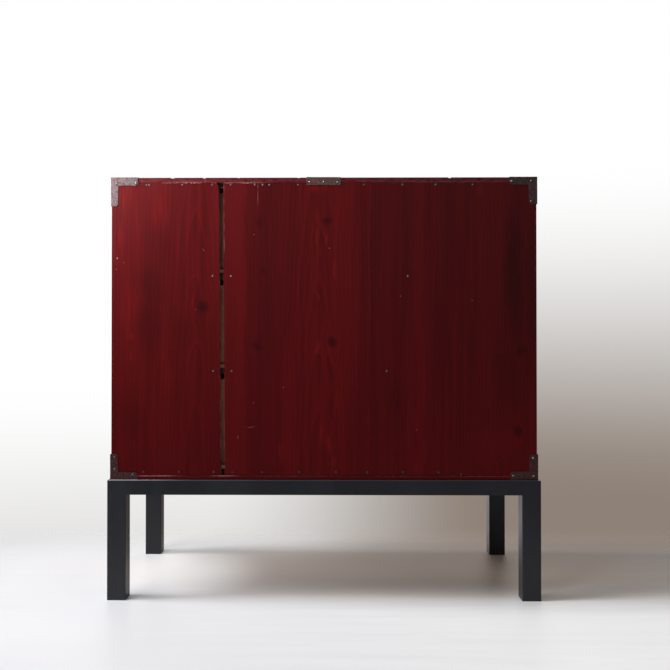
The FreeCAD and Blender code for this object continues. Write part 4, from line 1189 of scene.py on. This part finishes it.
def hammer_in(name, model, places, seed):
    """Copies of a head, each turned, tilted and sized differently, joined to one piece."""
    chance = random.Random(seed)
    copies = []
    for place, outward in places:
        head = copy_of(model, name)
        spin = Quaternion(Vector((0, 0, 1)), chance.uniform(0, 6.28))
        tilt = Quaternion(Vector((1, 0, 0)), math.radians(chance.uniform(-5, 5)))
        head.rotation_mode = "QUATERNION"
        head.rotation_quaternion = Vector(outward).to_track_quat("Z", "Y") @ tilt @ spin
        head.location = Vector(place) * MM
        head.scale = [chance.uniform(0.82, 1.06)] * 3
        copies.append(head)
    piece = joined(copies, name)
    bpy.ops.object.transform_apply(location=True, rotation=True, scale=True)
    return piece


for state, model in (("dry", stained_head), ("lowest_dark", rusted_head)):
    places = [nail for nail in board_places if (nail[0][2] <= DAMP_Z) == (state == "lowest_dark")]
    nails = hammer_in("nails_in_back_boards_" + state, model, places, 41)
    settle(nails, "case", None, "forged_iron", "back_board_nails")
for state, model in (("bright", rubbed_head), ("rusted", stained_head)):
    places = []
    for place, outward in iron_places:
        in_damp_corner = place[2] < MIDDLE_Z and place[0] > 0
        if in_damp_corner == (state == "rusted"):
            places.append((place, outward))
    nails = hammer_in("nails_in_irons_" + state, model, places, 42)
    settle(nails, "case", None, "forged_iron", "iron_nails")
print("groups of nails: 4")

# %% [markdown]
# ## Bails
# Each drawer is pulled by two hanging iron bails. A smith drew each out of a bar, left it thick in
# the middle for the hand, bent it twice and upset its ends into round knobs that pinch the eyes. Half
# of one is made from a circle that is extruded and resized along the grip, spun through the bend and
# extruded up the arm, with a pin that turns in the eye. A mirror modifier adds the other half.

# %% Model a bail
BAIL_DROP = 46.0
BAIL_ARM_X = 57.3
BAIL_CORNER = 10.0
BAR_SIDES = 12
BAR_RADIUS = 3.4
GRIP_RADIUS = 5.2
PIN_RADIUS = 2.2
PIN_END_X = 42.0
ALONG_X = (0, math.pi / 2, 0)
# Along the grip and up the arm: a place, and the radius of the bar there
GRIP = ((10, 5.1), (18, 4.7), (25, 4.1), (28.5, 3.6), (29.5, 4.1), (31.5, 4.1), (32.5, 3.4), (40, 3.3))
ARM = ((-22, 3.3), (-10, 3.0), (-5.4, 3.1), (-3.8, 4.0), (-2.0, 4.6), (0, 4.8), (2.2, 4.3), (3.9, 2.8))


def grow(steps, axis, centre, radius):
    """Extrude the open ring along an axis through places, each with its own bar radius."""
    for place, wanted in steps:
        move = [0.0, 0.0, 0.0]
        move[axis] = (place - centre[axis]) * MM
        centre[axis] = place
        bpy.ops.mesh.extrude_region_move(TRANSFORM_OT_translate={"value": move})
        factor = wanted / radius
        size = [1.0 if a == axis else factor for a in range(3)]
        bpy.ops.transform.resize(value=size, center_override=[c * MM for c in centre])
        radius = wanted


def half_bail(name):
    """Half a bail that hangs from the origin, in the plane y = 0."""
    centre = [0.0, 0.0, -BAIL_DROP]
    piece = begin(
        name,
        bpy.ops.mesh.primitive_circle_add,
        vertices=BAR_SIDES,
        radius=GRIP_RADIUS * MM,
        location=[c * MM for c in centre],
        rotation=ALONG_X,
    )
    bpy.ops.object.mode_set(mode="EDIT")
    bpy.ops.mesh.select_mode(type="EDGE")
    bpy.ops.mesh.select_all(action="SELECT")
    bend_x = BAIL_ARM_X - BAIL_CORNER
    bend_z = BAIL_CORNER - BAIL_DROP
    grow(GRIP + ((bend_x, BAR_RADIUS),), 0, centre, GRIP_RADIUS)
    bend = (bend_x * MM, 0, bend_z * MM)
    bpy.ops.mesh.spin(steps=6, angle=math.pi / 2, center=bend, axis=(0, -1, 0))
    grow(ARM, 2, [BAIL_ARM_X, 0.0, bend_z], BAR_RADIUS)
    bpy.ops.mesh.edge_face_add()
    bpy.ops.object.mode_set(mode="OBJECT")
    return piece


bail_model = half_bail("bail_model")
pin_middle = ((BAIL_ARM_X + PIN_END_X) / 2, 0, 0)
pin = drum("pin", 10, PIN_RADIUS, BAIL_ARM_X - PIN_END_X, pin_middle, ALONG_X)
pick(pin, "FACE", lambda c, n: n.x < -0.5)
bpy.ops.mesh.inset(thickness=0.5 * MM, depth=0.3 * MM)
bpy.ops.object.mode_set(mode="OBJECT")
joined((bail_model, pin), "bail_model")
mirror = bail_model.modifiers.new("other half", "MIRROR")
mirror.merge_threshold = 0.02 * MM
bpy.ops.object.modifier_apply(modifier=mirror.name)
bpy.ops.object.mode_set(mode="EDIT")
bpy.ops.mesh.select_all(action="SELECT")
bpy.ops.mesh.remove_doubles(threshold=0.02 * MM)
bpy.ops.mesh.normals_make_consistent(inside=False)
nudge(0.10, 17)
bpy.ops.object.mode_set(mode="OBJECT")
smooth = bail_model.modifiers.new("hammered smooth", "SUBSURF")
smooth.levels = 1
bpy.ops.object.modifier_apply(modifier=smooth.name)
bpy.ops.object.shade_smooth()
print("bail:", [round(size / MM, 1) for size in bail_model.dimensions], "mm")

# %% [markdown]
# ## Hang the bails
# Each of the six is a copy with a mesh of its own, so that it can swing by itself, and it stands for
# the plain bail of the construction.

# %% Hang the bails
PULL_X = 272.0
EYE_Y = -239.25
EYE_LEVELS = {"upper": 905.75, "middle": 680.25, "lower": 446.25}
for tier, eye_z in EYE_LEVELS.items():
    for side, sign in (("left", -1), ("right", 1)):
        body = f"bail_{tier}_{side}"
        bail = copy_of(bail_model, body + "_forged")
        bail.location = (sign * PULL_X * MM, EYE_Y * MM, eye_z * MM)
        bpy.ops.object.transform_apply(location=True, rotation=True, scale=True)
        settle(bail, body, pull_iron, "forged_iron", body)
print("bails: 6")

# %% [markdown]
# ## Washers of the pulls
# The eyes of a pull stand on round iron washers. A smith filed eight shallow scallops in the rim of
# each and hammered it a little hollow behind. A 32-sided cylinder gets the short edges near each
# scallop pushed in, and its face is inset and raised.

# %% Model the washers
FACE_Y = -224.75
WASHER_SIDES = 32
WASHER_RADIUS = 13.0
WASHER_SHEET = 1.6
POST_HALF = 48.0


def washer(name, x, z, turn):
    """A scalloped washer on the drawer front, facing -Y."""
    middle = (x, FACE_Y - WASHER_SHEET * 0.25, z)
    half_sheet = WASHER_SHEET * 0.5
    piece = drum(name, WASHER_SIDES, WASHER_RADIUS, half_sheet, middle, (math.pi / 2, 0, 0))

    def in_scallop(c, d):
        around = math.degrees(math.atan2(c.z - z, c.x - x)) + turn
        return abs(d.y) > 0.9 and abs((around + 22.5) % 45 - 22.5) < 7

    pick(piece, "EDGE", in_scallop)
    centre = (x * MM, FACE_Y * MM, z * MM)
    bpy.ops.transform.resize(value=(0.90, 1, 0.90), center_override=centre)
    pick(piece, "FACE", lambda c, n: n.y < -0.5)
    bpy.ops.mesh.inset(thickness=1.2 * MM, depth=0.45 * MM)
    bpy.ops.mesh.inset(thickness=4.5 * MM, depth=0.25 * MM)
    finish_edges(piece, 0.15, segments=1)
    return piece


for tier, eye_z in EYE_LEVELS.items():
    group = []
    for pull_x in (-PULL_X, PULL_X):
        for post_x in (pull_x - POST_HALF, pull_x + POST_HALF):
            index = len(group)
            group.append(washer(f"washer_{tier}_{index}", post_x, eye_z, turn=index * 5.0))
    washers = joined(group, f"pull_washers_{tier}")
    settle(washers, f"drawer_{tier}", pull_iron, "forged_iron", f"pull_seats_{tier}")
print("washers: 12")

# %% [markdown]
# ## Lock plates
# A plate in the outline of a quince flower covers each lock, held by four small tacks. It was cut
# from sheet, so the file has rounded its edge slightly. The outline in the construction model is
# right, so a merged copy of it gets its edges eased.

# %% Ease the lock plates and tack them on
LOCK_LEVELS = {"upper": 937.0, "middle": 715.0, "lower": 489.0}
TACK_REACH = 33.0
for tier, keyhole_z in LOCK_LEVELS.items():
    plate = merged_copy(f"lock_plate_{tier}", f"lock_plate_{tier}_filed")
    bpy.ops.mesh.dissolve_limited(angle_limit=math.radians(1))
    finish_edges(plate, 0.3, angle=50)
    settle(plate, f"drawer_{tier}", pull_iron, "forged_iron", f"lock_plate_{tier}")
    places = []
    for x, z in ((TACK_REACH, 0), (-TACK_REACH, 0), (0, TACK_REACH), (0, -TACK_REACH)):
        places.append(((x, FACE_Y - WASHER_SHEET, keyhole_z + z), (0, -1, 0)))
    tacks = hammer_in(f"lock_tacks_{tier}", plain_head, places, 50)
    settle(tacks, f"drawer_{tier}", None, "forged_iron")
# The models were only there to be copied
for model in (plain_head, stained_head, rusted_head, rubbed_head, bail_model):
    bpy.data.objects.remove(model)
print("lock plates: 3, tacks: 12")
